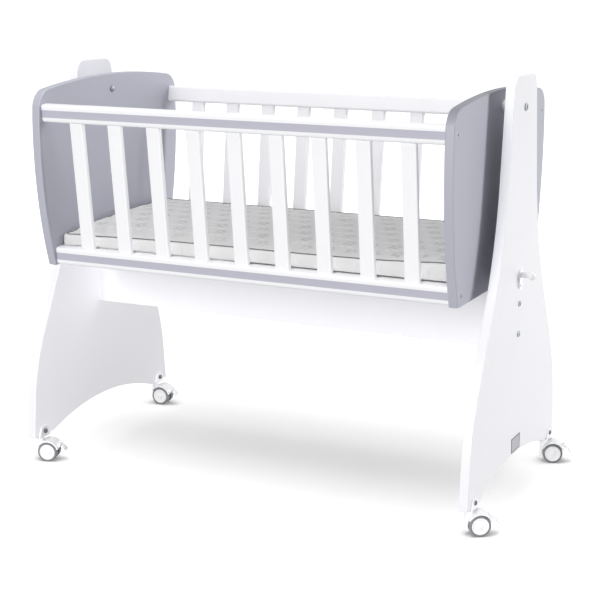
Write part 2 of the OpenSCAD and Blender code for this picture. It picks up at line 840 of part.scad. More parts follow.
module brake_lever() {
  half = ear_in - 0.3;
  // The pedal is wide only where it is past the ears
  wide_a = pedal_a - (ear_r + 1.6) / pedal_bend * 180 / PI;
  low = polar(pedal_c, pedal_bend - pedal_t / 2, pedal_tip_a)[1] - 0.3;
  high = polar(pedal_c, pedal_bend + pedal_t / 2, wide_a)[1] + 0.3;
  difference() {
    union() {
      y_bar(lever_c, lever_barrel_r, -half, half);
      plate_xz(2 * half - 1.2) strip(pedal_c, pedal_bend, root_t, (wide_a + pedal_tip_a) / 2, pedal_a);
      intersection() {
        plate_xz(pedal_w) strip(pedal_c, pedal_bend, pedal_t, pedal_tip_a, wide_a);
        board_yz(trail, 2 * hood_r) translate([0, (low + high) / 2])
          polygon(rounded_rect(pedal_w, high - low, pedal_corner_r, 5));
      }
    }
    y_bar(lever_c, lever_pin_r + running_fit, -half - 1, half + 1);
  }
}

module caster_axle() y_bar(axle_c, axle_r, -wheel_out + 2.5, wheel_out - 2.5);

// A wheel part, its profile drawn as radius and distance from the wheel's inner face
module wheel_turned() {
  for (side = [0, 1]) mirror([0, side, 0])
    translate([axle_c[0], wheel_in, axle_c[1]]) rotate([-90, 0, 0]) rotate_extrude() children();
}

module wheel_hubs() {
  dish = 1.4;
  wheel_turned() polygon([
    [axle_r + running_fit, 0], [hub_r - seat_fit, 0], [hub_r - seat_fit, wheel_w - 0.8],
    [hub_r - 0.8, wheel_w], [hub_r - 2.2, wheel_w], [hub_r - 3.4, wheel_w - dish], [6.2, wheel_w - dish],
    [5.2, wheel_w], [2.5, wheel_w + 0.5], [0, wheel_w + 0.6], [0, wheel_w - 2.2],
    [axle_r + running_fit, wheel_w - 2.2]
  ]);
}

module tyres() {
  edge = 2.2;
  wheel_turned() polygon(concat(
    [[hub_r, 0.4]],
    arc([wheel_r - edge, 0.4 + edge], edge, -90, 0, 6),
    arc([wheel_r - edge, wheel_w - 0.4 - edge], edge, 0, 90, 6),
    [[hub_r, wheel_w - 0.4]]
  ));
}

// The clip round the foot of a stand end, drawn at the right front foot
flange_out = stand_out + 0.1 + flange_t;
flange_in = stand_in - 0.1 - flange_t;
flange_foot = 18;
flange_head = 9.5;
bracket_head_r = 4.5;
flange_top_z = foot_z + bracket_bolt_rise + 10;
flange_flank = concat(
  [[flange_foot, bracket_z]],
  corner([flange_foot, bracket_z], [flange_head, flange_top_z], [0, flange_top_z], 7, 8)
);

module at_feet() both_ends() both_sides() translate([0, stem_y, 0]) children();

module caster_brackets() color(white_plastic) at_feet() {
  difference() {
    union() {
      board_yz(stand_out + 0.1, flange_t) polygon(concat(flange_flank, mirrored(flange_flank)));
      board_yz(flange_in, flange_t) polygon(concat(flange_flank, mirrored(flange_flank)));
      translate([flange_in, -flange_foot, bracket_z])
        cube([flange_out - flange_in, 2 * flange_foot, bracket_web_t]);
    }
    translate([0, 0, foot_z + bracket_bolt_rise])
      x_bar(bracket_bolt_r + seat_fit, flange_in - 1, flange_out + 1);
  }
}

module caster_bolts() color(dark_metal) at_feet() translate([0, 0, foot_z + bracket_bolt_rise]) {
  x_bar(bracket_bolt_r, flange_in - nut_h + 1, flange_out + head_h / 3);
  translate([flange_out, 0, 0]) socket_head(bracket_head_r, head_h, head_edge);
}

module caster_nuts() color(dark_metal) at_feet() {
  translate([flange_in, 0, foot_z + bracket_bolt_rise]) mirror([1, 0, 0])
    cap_nut(bracket_head_r, nut_h, 1.2, bracket_bolt_r + seat_fit);
}

module caster_stems() color(bright_metal) {
  for (x_side = [-1, 1]) for (y_side = [-1, 1]) at_caster(x_side, y_side) {
    translate([0, 0, bracket_z - stem_flange_t]) cylinder(r = stem_flange_r, h = stem_flange_t);
    translate([0, 0, stem_end_z]) cylinder(r = stem_r, h = bracket_z - stem_flange_t - stem_end_z);
  }
}

// One of the five moving parts of the caster at the given corner
module caster_part(name, x_side, y_side) {
  at_caster(x_side, y_side) {
    if (name == "hood") color(white_plastic) caster_hood();
    if (name == "lever") color(white_plastic) brake_lever();
    if (name == "axle") color(bright_metal) caster_axle();
    if (name == "hubs") color(white_plastic) wheel_hubs();
    if (name == "tyres") color(tyre_grey) tyres();
  }
}

// ---------- the object ----------

stand_end_left();
stand_end_right();
stretcher_board();
stretcher_bolts();
stretcher_barrel_nuts();
pivot_bushes();
lock_plate();
lock_plate_screw();
lock_bush();
caster_brackets();
caster_bolts();
caster_nuts();
caster_stems();
cradle_end_left();
cradle_end_right();
front_top_rail();
front_bottom_rail();
rear_top_rail();
rear_bottom_rail();
rail_stripes();
front_slats();
rear_slats();
rail_screws();
rail_dowels();
base_board();
base_battens();
end_battens();
mattress();
pivot_bolts();
pivot_nuts();
pivot_spacers();
lock_keeper();
lock_pin();
lock_knob();
caster_part("hood", -1, -1);  // caster_hood_front_left
caster_part("lever", -1, -1);  // brake_lever_front_left
caster_part("axle", -1, -1);  // caster_axle_front_left
caster_part("hubs", -1, -1);  // wheel_hubs_front_left
caster_part("tyres", -1, -1);  // tyres_front_left
caster_part("hood", 1, -1);  // caster_hood_front_right
caster_part("lever", 1, -1);  // brake_lever_front_right
caster_part("axle", 1, -1);  // caster_axle_front_right
caster_part("hubs", 1, -1);  // wheel_hubs_front_right
caster_part("tyres", 1, -1);  // tyres_front_right
caster_part("hood", -1, 1);  // caster_hood_rear_left
caster_part("lever", -1, 1);  // brake_lever_rear_left
caster_part("axle", -1, 1);  // caster_axle_rear_left
caster_part("hubs", -1, 1);  // wheel_hubs_rear_left
caster_part("tyres", -1, 1);  // tyres_rear_left
caster_part("hood", 1, 1);  // caster_hood_rear_right
caster_part("lever", 1, 1);  // brake_lever_rear_right
caster_part("axle", 1, 1);  // caster_axle_rear_right
caster_part("hubs", 1, 1);  // wheel_hubs_rear_right
caster_part("tyres", 1, 1);  // tyres_rear_right
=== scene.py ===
"""Looks of a swinging baby cradle on a stand with casters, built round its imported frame.

Blender works in metres, and so does the studio. The object's own classes and helpers hold
their sizes in millimetres and turn them to metres with MM. +X runs along the cradle towards
the end with the swing lock, +Y from front to back and +Z up, with the origin on the floor
between the casters.
"""

import json
import logging
import math
from dataclasses import dataclass, field
from enum import Enum
from typing import Iterable, Sequence

import bmesh
import bpy
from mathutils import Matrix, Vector
from mathutils.bvhtree import BVHTree
from mathutils.noise import noise

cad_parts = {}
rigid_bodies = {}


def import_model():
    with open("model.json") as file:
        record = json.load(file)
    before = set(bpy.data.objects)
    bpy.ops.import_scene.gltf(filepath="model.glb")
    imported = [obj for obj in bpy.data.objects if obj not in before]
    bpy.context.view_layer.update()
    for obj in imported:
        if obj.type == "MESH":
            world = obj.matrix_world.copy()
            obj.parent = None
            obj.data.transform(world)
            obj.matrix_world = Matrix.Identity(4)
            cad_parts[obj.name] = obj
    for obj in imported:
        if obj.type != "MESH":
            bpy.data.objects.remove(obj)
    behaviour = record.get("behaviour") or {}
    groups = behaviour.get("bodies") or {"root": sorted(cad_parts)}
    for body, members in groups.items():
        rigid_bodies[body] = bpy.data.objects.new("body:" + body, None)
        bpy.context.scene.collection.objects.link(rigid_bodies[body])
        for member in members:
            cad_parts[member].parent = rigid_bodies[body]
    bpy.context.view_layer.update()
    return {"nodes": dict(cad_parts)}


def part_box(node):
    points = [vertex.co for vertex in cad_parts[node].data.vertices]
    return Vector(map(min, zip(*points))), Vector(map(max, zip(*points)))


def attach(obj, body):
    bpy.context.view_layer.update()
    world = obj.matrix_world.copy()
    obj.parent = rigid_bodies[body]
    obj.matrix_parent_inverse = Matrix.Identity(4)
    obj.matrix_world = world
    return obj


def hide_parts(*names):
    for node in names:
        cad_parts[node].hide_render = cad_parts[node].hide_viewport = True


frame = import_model()

log = logging.getLogger("cradle")

Tree = bpy.types.NodeTree
Node = bpy.types.Node
Socket = bpy.types.NodeSocket
Piece = bpy.types.Object

MM = 0.001
WELD = 0.002  # millimetres within which two vertices of a frame mesh are one
FLAT = 0.2  # degrees within which two faces of a frame mesh are one
SMALL_RIM = 26.0  # millimetres across, under which a loop of edges is a hole's rim
CURVED = 40.0  # degrees under which the faces of a turned or moulded piece are shaded as one
FACING = 0.9  # least share along X at which a direction counts as facing that way


# ---------------------------------------------------------------- choices


class Body(str, Enum):
    """Bodies of the frame that are named once."""

    STAND = "stand"
    CRADLE = "cradle"
    LOCK = "swing_lock"


class Slot(str, Enum):
    """Material slots of the record."""

    WHITE_PAINT = "white_paint"
    GREY_PAINT = "grey_paint"
    BEECH = "beech"
    DARK_METAL = "dark_metal"
    BRIGHT_METAL = "bright_metal"
    WHITE_PLASTIC = "white_plastic"
    TYRE = "tyre_grey"
    TICKING = "ticking"


class Grain(Enum):
    """The way a piece's grain runs, as stretch factors for a pattern along X, Y and Z."""

    ALONG_X = (0.02, 1.0, 1.0)
    ALONG_Y = (1.0, 0.02, 1.0)
    ALONG_Z = (1.0, 1.0, 0.02)


class Corner(Enum):
    """The four casters, as they are named in the frame."""

    FRONT_LEFT = "front_left"
    FRONT_RIGHT = "front_right"
    REAR_LEFT = "rear_left"
    REAR_RIGHT = "rear_right"


# ---------------------------------------------------------------- colour and nodes


def linear(code: str) -> tuple[float, float, float, float]:
    """Turns an sRGB hex colour to linear RGBA.

    Args:
        code: colour as "#RRGGBB".

    Returns:
        The linear red, green and blue, with alpha 1.
    """
    parts = [int(code[i : i + 2], 16) / 255 for i in (1, 3, 5)]
    red, green, blue = (p / 12.92 if p <= 0.04045 else ((p + 0.055) / 1.055) ** 2.4 for p in parts)
    return (red, green, blue, 1.0)


def per_mm(size: float) -> float:
    """Scale of a noise or cell pattern whose features are size millimetres across."""
    return 1.0 / (size * MM)


def per_radian(size: float) -> float:
    """Scale of a wave pattern that turns by a radian in size millimetres; 1 is 20 in a metre."""
    return per_mm(size) / 20


def clamped(value: float, low: float = 0.0, high: float = 1.0) -> float:
    """The value, kept between low and high."""
    return min(max(value, low), high)


def add_node(tree: Tree, kind: str, links: dict | None = None, **settings: object) -> Node:
    """Adds one node with its settings and its inputs.

    Args:
        tree: the node tree that gets the node.
        kind: the node's type name.
        links: input name or index to an output socket or to a plain value.
        settings: attributes of the node itself.

    Returns:
        The new node.
    """
    node = tree.nodes.new(kind)
    for name, value in settings.items():
        setattr(node, name, value)
    for key, value in (links or {}).items():
        socket = node.inputs[key]
        if isinstance(value, Socket):
            tree.links.new(value, socket)
        else:
            socket.default_value = value
    return node


def maths(tree: Tree, operation: str, *values: object) -> Socket:
    """Adds a math node over the given sockets and numbers and returns its result."""
    return add_node(tree, "ShaderNodeMath", dict(enumerate(values)), operation=operation).outputs[0]


def length(tree: Tree, x: Socket, y: Socket) -> Socket:
    """Length of the vector that has the given two parts."""
    squares = maths(tree, "ADD", maths(tree, "MULTIPLY", x, x), maths(tree, "MULTIPLY", y, y))
    return maths(tree, "SQRT", squares)


def ramped(
    tree: Tree, value: Socket, low: float, high: float, start: float = 0.0, end: float = 1.0
) -> Socket:
    """Runs from start to end as value goes from low to high."""
    limits = {"Value": value, "From Min": low, "From Max": high, "To Min": start, "To Max": end}
    return add_node(tree, "ShaderNodeMapRange", limits).outputs["Result"]


def clouds(tree: Tree, where: Socket, size: float, detail: float, roughness: float = 0.5) -> Socket:
    """Noise from 0 to 1 whose features are size millimetres across."""
    inputs = {"Vector": where, "Scale": per_mm(size), "Detail": detail, "Roughness": roughness}
    return add_node(tree, "ShaderNodeTexNoise", inputs).outputs["Fac"]


def blend(tree: Tree, mask: Socket, low: str, high: str) -> Socket:
    """A colour that runs from low to high as mask goes from 0 to 1."""
    # The mix node has its two colours at the inputs 6 and 7, and its mixed colour at output 2
    inputs = {"Factor": mask, 6: linear(low), 7: linear(high)}
    return add_node(tree, "ShaderNodeMix", inputs, data_type="RGBA").outputs[2]


@dataclass(frozen=True)
class Finish:
    """A surface finish. Subclasses add their pattern to the shader in pattern()."""

    name: str
    colour: str
    roughness: float
    metallic: float = 0.0
    coat: float = 0.0

    def material(self) -> bpy.types.Material:
        """The Blender material of this finish, made once.

        Returns:
            The material, with the finish's pattern in it.
        """
        made = bpy.data.materials.get(self.name)
        if made:
            return made
        made = bpy.data.materials.new(self.name)
        made.use_nodes = True
        tree = made.node_tree
        shader = tree.nodes["Principled BSDF"]
        shader.inputs["Base Color"].default_value = linear(self.colour)
        shader.inputs["Roughness"].default_value = self.roughness
        shader.inputs["Metallic"].default_value = self.metallic
        shader.inputs["Coat Weight"].default_value = self.coat
        where = add_node(tree, "ShaderNodeTexCoord").outputs["Object"]
        self.pattern(tree, shader, where)
        return made

    def pattern(self, tree: Tree, shader: Node, where: Socket) -> None:
        """Adds the finish's own colour, gloss and relief; plain by default.

        Args:
            tree: the material's node tree.
            shader: its principled shader.
            where: the place on the piece, in metres.
        """

    def paint(self, tree: Tree, shader: Node, mask: Socket, low: str, high: str) -> None:
        """Colours the surface from low to high as mask goes from 0 to 1."""
        tree.links.new(blend(tree, mask, low, high), shader.inputs["Base Color"])

    def gloss(self, tree: Tree, shader: Node, mask: Socket, spread: float) -> None:
        """Lets the roughness wander by spread either way, as mask goes from 0 to 1."""
        rough = ramped(tree, mask, 0.0, 1.0, self.roughness - spread, self.roughness + spread)
        tree.links.new(rough, shader.inputs["Roughness"])

    def relief(self, tree: Tree, shader: Node, height: Socket, depth: float) -> None:
        """Raises the surface by up to depth millimetres as height goes from 0 to 1.

        Args:
            tree: the material's node tree.
            shader: its principled shader.
            height: the relief.
            depth: its depth.
        """
        inputs = {"Height": height, "Strength": 1.0, "Distance": depth * MM}
        bump = add_node(tree, "ShaderNodeBump", inputs)
        tree.links.new(bump.outputs["Normal"], shader.inputs["Normal"])


@dataclass(frozen=True)
class PressedBoard(Finish):
    """Melamine-faced particle board, pressed between plates with a fine pearl texture.

    The eye gets an even satin face with a faint pearl break-up in its highlights.
    """

    other: str = "#F0F0F3"
    drift: float = 180.0
    pearl: float = 1.6
    depth: float = 0.02
    spread: float = 0.05

    def pattern(self, tree: Tree, shader: Node, where: Socket) -> None:
        """Slow drift of the shade, and pearls drawn at 1.6 mm or more so that they show.

        Args:
            tree: the material's node tree.
            shader: its principled shader.
            where: the place on the piece, in metres.
        """
        drift = clouds(tree, where, self.drift, detail=2.0)
        self.paint(tree, shader, drift, self.colour, self.other)
        pearls = clouds(tree, where, self.pearl, detail=3.0)
        self.gloss(tree, shader, pearls, self.spread)
        self.relief(tree, shader, pearls, self.depth)


@dataclass(frozen=True)
class SprayedBeech(Finish):
    """Beech sprayed with a thin acrylic lacquer.

    The eye gets a smooth satin colour through which the grain still reads as faint relief.
    """

    other: str = "#F3F3F5"
    grain: Grain = Grain.ALONG_X
    line: float = 1.5
    depth: float = 0.03
    spread: float = 0.04

    def pattern(self, tree: Tree, shader: Node, where: Socket) -> None:
        """Grain lines across the piece, long drawn along it.

        Args:
            tree: the material's node tree.
            shader: its principled shader.
            where: the place on the piece, in metres.
        """
        turned = add_node(tree, "ShaderNodeMapping", {"Vector": where, "Scale": self.grain.value})
        lines = clouds(tree, turned.outputs[0], self.line, detail=4.0, roughness=0.6)
        self.paint(tree, shader, lines, self.other, self.colour)
        self.gloss(tree, shader, lines, self.spread)
        self.relief(tree, shader, lines, self.depth)


@dataclass(frozen=True)
class BareBeech(Finish):
    """Planed, unfinished beech.

    The eye gets a dry pinkish-brown wood with short darker flecks in a straight grain.
    """

    dark: str = "#B58E5E"
    grain: Grain = Grain.ALONG_X
    line: float = 2.0
    fleck: float = 1.4
    depth: float = 0.05

    def pattern(self, tree: Tree, shader: Node, where: Socket) -> None:
        """Straight grain, and the short ray flecks of beech.

        Args:
            tree: the material's node tree.
            shader: its principled shader.
            where: the place on the piece, in metres.
        """
        turned = add_node(tree, "ShaderNodeMapping", {"Vector": where, "Scale": self.grain.value})
        lines = clouds(tree, turned.outputs[0], self.line, detail=5.0)
        inputs = {"Vector": turned.outputs[0], "Scale": per_mm(self.fleck)}
        fleck = add_node(tree, "ShaderNodeTexVoronoi", inputs)
        both = maths(tree, "MULTIPLY", lines, fleck.outputs["Distance"])
        self.paint(tree, shader, both, self.dark, self.colour)
        self.relief(tree, shader, lines, self.depth)


@dataclass(frozen=True)
class MouldedPlastic(Finish):
    """Injection-moulded plastic with the fine spark-eroded grain of its mould.

    The eye gets one even colour whose highlights are a little broken and uneven.
    """

    grit: float = 0.8
    depth: float = 0.01
    flow: float = 14.0
    spread: float = 0.06

    def pattern(self, tree: Tree, shader: Node, where: Socket) -> None:
        """Mould grain drawn at 0.8 mm so that it shows, with a slow wander of the gloss.

        Args:
            tree: the material's node tree.
            shader: its principled shader.
            where: the place on the piece, in metres.
        """
        flow = clouds(tree, where, self.flow, detail=1.0)
        self.gloss(tree, shader, flow, self.spread)
        grit = clouds(tree, where, self.grit, detail=2.0)
        self.relief(tree, shader, grit, self.depth)


@dataclass(frozen=True)
class PlatedSteel(Finish):
    """Metal with a plated, burnished or anodised skin.

    The eye gets a metal whose colour and gloss shift a little in a fine crystalline cloud.
    """

    other: str = "#A9ABB0"
    crystal: float = 1.0
    spread: float = 0.08

    def pattern(self, tree: Tree, shader: Node, where: Socket) -> None:
        """Crystals that shift the colour and the gloss a little.

        Args:
            tree: the material's node tree.
            shader: its principled shader.
            where: the place on the piece, in metres.
        """
        cloud = clouds(tree, where, self.crystal, detail=3.0)
        self.paint(tree, shader, cloud, self.other, self.colour)
        self.gloss(tree, shader, cloud, self.spread)


@dataclass(frozen=True)
class PrintedTicking(Finish):
    """Cotton ticking in plain weave, with a soft grey print of rosettes and pale seeds.

    The eye gets a pale grey cloth, mottled by a thin uneven ink, with a matt fibrous bloom.
    Sizes in the motifs are shares of a printed cell, and the rest are millimetres.
    """

    mark: str = "#B9B9B9"
    ground: float = 0.42
    pitch: float = 46.0
    lobes: float = 5.0
    petal: float = 0.26
    lobe: float = 0.055
    soft: float = 0.03
    eye: tuple[float, float] = (0.06, 0.1)
    seed_apart: float = 0.19
    seed_slim: float = 0.5
    seed: tuple[float, float] = (0.05, 0.08)
    blotch: float = 12.0
    blotch_ink: tuple[float, float] = (0.35, 0.62)
    thin_ink: float = 0.3
    wobble: float = 20.0
    wobble_by: float = 5.0
    thread: float = 1.1  # for a radian of the weave's wave, so that its ribs are 6.9 apart
    uneven: float = 0.4
    thread_depth: float = 0.12
    print_from: float = 481.0
    print_fade: float = 3.0
    side_ink: float = 0.25
    bloom: float = 0.25
    bloom_roughness: float = 0.5

    def cell(self, tree: Tree, axes: Node, shift: float) -> tuple[Socket, Socket]:
        """Place in a printed cell, -0.5 to 0.5 each way, each row half a cell further along.

        Args:
            tree: the material's node tree.
            axes: the place on the cloth, counted in cells.
            shift: how far up the cells are moved, as a share of a cell.

        Returns:
            The place along the cell and the place up it.
        """
        up = maths(tree, "ADD", axes.outputs["Y"], shift)
        drop = maths(tree, "MULTIPLY", maths(tree, "FLOOR", up), 0.5)
        along = maths(tree, "ADD", axes.outputs["X"], drop)
        return (
            maths(tree, "SUBTRACT", maths(tree, "FRACT", along), 0.5),
            maths(tree, "SUBTRACT", maths(tree, "FRACT", up), 0.5),
        )

    def rosettes(self, tree: Tree, axes: Node) -> Socket:
        """Lobed flowers, each with a pale round eye.

        Args:
            tree: the material's node tree.
            axes: the place on the cloth, counted in cells.

        Returns:
            1 on the petals, 0 beside them.
        """
        x, y = self.cell(tree, axes, 0.0)
        reach = length(tree, x, y)
        turn = maths(tree, "MULTIPLY", maths(tree, "ARCTAN2", y, x), self.lobes)
        edge = maths(tree, "MULTIPLY_ADD", maths(tree, "COSINE", turn), self.lobe, self.petal)
        past = maths(tree, "SUBTRACT", reach, edge)
        petals = ramped(tree, past, -self.soft, self.soft, 1.0, 0.0)
        return maths(tree, "MULTIPLY", petals, ramped(tree, reach, *self.eye))

    def seeds(self, tree: Tree, axes: Node) -> Socket:
        """Pairs of long seeds between the rows of flowers.

        Args:
            tree: the material's node tree.
            axes: the place on the cloth, counted in cells.

        Returns:
            1 on a seed, 0 beside it.
        """
        x, y = self.cell(tree, axes, 0.5)
        off = maths(tree, "SUBTRACT", maths(tree, "ABSOLUTE", x), self.seed_apart)
        reach = length(tree, maths(tree, "MULTIPLY", off, self.seed_slim), y)
        return ramped(tree, reach, *self.seed, 1.0, 0.0)

    def weave(self, tree: Tree, where: Socket) -> Socket:
        """Crossing ribs of threads, drawn coarser than the real weave so that they show.

        Args:
            tree: the material's node tree.
            where: the place on the piece, in metres.

        Returns:
            The height of the cloth, from 0 to 1.
        """
        inputs = {"Vector": where, "Scale": per_radian(self.thread), "Distortion": self.uneven}
        threads = [
            add_node(tree, "ShaderNodeTexWave", inputs, bands_direction=way).outputs["Fac"]
            for way in ("X", "Y")
        ]
        return maths(tree, "MAXIMUM", *threads)

    def pattern(self, tree: Tree, shader: Node, where: Socket) -> None:
        """The print, blotched and a little wavy, fading out below the upper seam.

        Args:
            tree: the material's node tree.
            shader: its principled shader.
            where: the place on the piece, in metres.
        """
        inputs = {"Vector": where, "Scale": per_mm(self.wobble), "Detail": 1.0}
        wave = add_node(tree, "ShaderNodeTexNoise", inputs).outputs["Color"]
        inputs = {0: wave, 1: (self.wobble_by * MM,) * 3, 2: where}
        moved = add_node(tree, "ShaderNodeVectorMath", inputs, operation="MULTIPLY_ADD")
        inputs = {0: moved.outputs[0], 1: (per_mm(self.pitch),) * 3}
        flat = add_node(tree, "ShaderNodeVectorMath", inputs, operation="MULTIPLY")
        axes = add_node(tree, "ShaderNodeSeparateXYZ", {0: flat.outputs[0]})
        blotch = clouds(tree, where, self.blotch, detail=3.0)
        thick = ramped(tree, blotch, *self.blotch_ink, self.thin_ink, 1.0)
        petals = maths(tree, "MULTIPLY", self.rosettes(tree, axes), thick)
        dark = maths(tree, "MULTIPLY", petals, 1 - self.ground)
        ink = maths(tree, "MULTIPLY_ADD", self.seeds(tree, axes), -self.ground, dark)
        height = add_node(tree, "ShaderNodeSeparateXYZ", {0: where}).outputs["Z"]
        start, end = self.print_from * MM, (self.print_from + self.print_fade) * MM
        level = ramped(tree, height, start, end, self.side_ink, 1.0)
        tone = maths(tree, "MULTIPLY_ADD", ink, level, self.ground)
        self.paint(tree, shader, tone, self.colour, self.mark)
        self.relief(tree, shader, self.weave(tree, where), self.thread_depth)
        shader.inputs["Sheen Weight"].default_value = self.bloom
        shader.inputs["Sheen Roughness"].default_value = self.bloom_roughness


@dataclass(frozen=True)
class WovenTape(Finish):
    """Twill binding tape that covers the piping cord.

    The eye gets a dark matt line with fine diagonal ribs.
    """

    dark: str = "#565654"
    rib: float = 1.0  # millimetres for a radian of the ribs' wave, so that they are 6.3 apart
    depth: float = 0.1
    turn: tuple[float, float, float] = (0.6, 0.5, 0.78)
    bloom: float = 0.2

    def pattern(self, tree: Tree, shader: Node, where: Socket) -> None:
        """Diagonal twill ribs, drawn coarser than the real tape's so that they show.

        Args:
            tree: the material's node tree.
            shader: its principled shader.
            where: the place on the piece, in metres.
        """
        turned = add_node(tree, "ShaderNodeMapping", {"Vector": where, "Rotation": self.turn})
        inputs = {"Vector": turned.outputs[0], "Scale": per_radian(self.rib)}
        rib = add_node(tree, "ShaderNodeTexWave", inputs).outputs["Fac"]
        self.paint(tree, shader, rib, self.dark, self.colour)
        self.relief(tree, shader, rib, self.depth)
        shader.inputs["Sheen Weight"].default_value = self.bloom


def board(name: str, colour: str, other: str, roughness: float, **more: float) -> PressedBoard:
    """A pressed board whose shade drifts from colour to other."""
    return PressedBoard(name, colour, roughness, other=other, **more)


def metal(name: str, colour: str, other: str, roughness: float, share: float = 1.0) -> PlatedSteel:
    """A metal that clouds from other to colour; share is how metallic it is, from 0 to 1."""
    return PlatedSteel(name, colour, roughness, metallic=share, other=other)


WHITE_BOARD = board("melamine_board_white", "#F6F6FA", "#F3F3F7", 0.42)
GREY_BOARD = board("melamine_board_grey", "#B4B5C1", "#B0B1BD", 0.45)
BASE_BOARD = board("painted_hardboard", "#EDEDEE", "#E7E7E9", 0.6, pearl=3.0)
WHITE_RAIL = SprayedBeech("sprayed_beech_white_rail", "#F7F7FA", 0.36)
WHITE_SLAT = SprayedBeech("sprayed_beech_white_slat", "#F7F7FA", 0.38, grain=Grain.ALONG_Z)
STRIPE_PAINT = SprayedBeech("sprayed_beech_grey_stripe", "#BCBBC8", 0.4, other="#B6B5C2")
BEECH_X = BareBeech("bare_beech_along_x", "#DDC49C", 0.62)
BEECH_Y = BareBeech("bare_beech_along_y", "#DDC49C", 0.62, grain=Grain.ALONG_Y)
BLACK_ZINC = metal("black_zinc_steel", "#77787C", "#5C5D62", 0.38)
BURNISHED = metal("burnished_steel", "#ABACB1", "#8E8F94", 0.32)
ZINC = metal("clear_zinc_steel", "#C4C6CA", "#A9ABB0", 0.3)
SATIN_ZINC = metal("satin_zinc_plate", "#E2E2E6", "#D6D6DB", 0.5)
ZINC_FLAKE = metal("zinc_flake_steel", "#A3A5AE", "#8F919A", 0.5)
LABEL_RIM = metal("dark_anodised_rim", "#77757F", "#6A6872", 0.4, 0.6)
LABEL_FACE = metal("satin_anodised_face", "#B2B1B7", "#9D9CA3", 0.45, 0.6)
NYLON = MouldedPlastic("moulded_nylon_white", "#F4F4F6", 0.34)
KNOB_ABS = MouldedPlastic("moulded_abs_knob", "#F4F4F5", 0.16, coat=0.3, depth=0.004)
TYRE_RUBBER = MouldedPlastic("thermoplastic_rubber_tyre", "#8F9093", 0.55, depth=0.03)
TICKING = PrintedTicking("printed_cotton_ticking", "#E4E4E4", 0.85)
PIPING_TAPE = WovenTape("twill_piping_tape", "#636361", 0.8)


# ---------------------------------------------------------------- mesh helpers


def pick_only(piece: Piece) -> None:
    """Deselects everything, then selects the piece and makes it active.

    Args:
        piece: the piece to pick.
    """
    if bpy.context.object and bpy.context.object.mode != "OBJECT":
        bpy.ops.object.mode_set(mode="OBJECT")
    bpy.ops.object.select_all(action="DESELECT")
    piece.select_set(True)
    bpy.context.view_layer.objects.active = piece


def block(name: str, centre: tuple[float, float, float], size: Sequence[float]) -> Piece:
    """A plain block.

    Args:
        name: its name.
        centre: its middle, in metres.
        size: its length along X, Y and Z, in metres.

    Returns:
        The block, active and in object mode.
    """
    pick_only(next(iter(frame["nodes"].values())))
    bpy.ops.object.select_all(action="DESELECT")
    bpy.ops.mesh.primitive_cube_add(size=1.0, location=centre)
    piece = bpy.context.object
    piece.name = name
    piece.scale = size
    bpy.ops.object.transform_apply(location=True, rotation=True, scale=True)
    return piece


def cad_copy(node: str) -> Piece:
    """Copies a frame node's mesh into a new piece, its loose triangles merged to clean faces.

    Args:
        node: name of the frame's node.

    Returns:
        The new piece, active and in object mode.
    """
    mesh = frame["nodes"][node].data.copy()
    mesh.materials.clear()
    piece = bpy.data.objects.new(f"{node}_finished", mesh)
    bpy.context.scene.collection.objects.link(piece)
    pick_only(piece)
    if mesh.has_custom_normals:
        bpy.ops.mesh.customdata_custom_splitnormals_clear()
    bpy.ops.object.mode_set(mode="EDIT")
    bpy.ops.mesh.select_all(action="SELECT")
    bpy.ops.mesh.remove_doubles(threshold=WELD * MM)
    bpy.ops.mesh.dissolve_limited(angle_limit=math.radians(FLAT))
    bpy.ops.object.mode_set(mode="OBJECT")
    return piece


def weigh_edges(piece: Piece, radius: float, hole_radius: float, over: float) -> None:
    """Marks how far each sharp edge of the piece is rounded, less round a small hole.

    Args:
        piece: the piece, with clean faces.
        radius: radius of its outer edges in millimetres.
        hole_radius: radius of the rims of its small holes in millimetres.
        over: least angle in degrees at which an edge counts as sharp.
    """
    mesh = bmesh.new()
    mesh.from_mesh(piece.data)
    weights = mesh.edges.layers.float.new("bevel_weight_edge")
    least = math.radians(over)
    left = {e for e in mesh.edges if len(e.link_faces) == 2 and e.calc_face_angle(0.0) > least}
    while left:
        rim, front = [], [left.pop()]
        while front:
            edge = front.pop()
            rim.append(edge)
            near = {e for v in edge.verts for e in v.link_edges if e in left}
            left -= near
            front.extend(near)
        spots = [v.co for e in rim for v in e.verts]
        across = max((max(c[i] for c in spots) - min(c[i] for c in spots)) for i in range(3))
        share = hole_radius / radius if across < SMALL_RIM * MM else 1.0
        for edge in rim:
            edge[weights] = share
    mesh.to_mesh(piece.data)
    mesh.free()


def smooth(piece: Piece, over: float = 32.0) -> None:
    """Shades the piece smooth where its faces meet at less than the given angle.

    Args:
        piece: the piece to shade.
        over: the angle in degrees.
    """
    pick_only(piece)
    bpy.ops.object.shade_smooth_by_angle(angle=math.radians(over))
    flat = piece.modifiers.new("flat faces", "WEIGHTED_NORMAL")
    flat.keep_sharp = True
    flat.weight = 100
    bpy.ops.object.modifier_apply(modifier=flat.name)


def round_edges(
    piece: Piece, radius: float, segments: int, hole_radius: float | None = None, over: float = 40.0
) -> None:
    """Rounds the piece's sharp edges and shades it, its flat faces staying flat.

    Args:
        piece: the piece to finish.
        radius: radius of the edges in millimetres.
        segments: faces across a rounded edge.
        hole_radius: radius for the rims of small holes, the same as the rest by default.
        over: least angle in degrees at which an edge is rounded.
    """
    weigh_edges(piece, radius, radius if hole_radius is None else hole_radius, over)
    pick_only(piece)
    bevel = piece.modifiers.new("edges", "BEVEL")
    bevel.width = radius * MM
    bevel.segments = segments
    bevel.limit_method = "WEIGHT"
    bevel.use_clamp_overlap = False
    bevel.loop_slide = False
    bpy.ops.object.modifier_apply(modifier=bevel.name)
    smooth(piece)


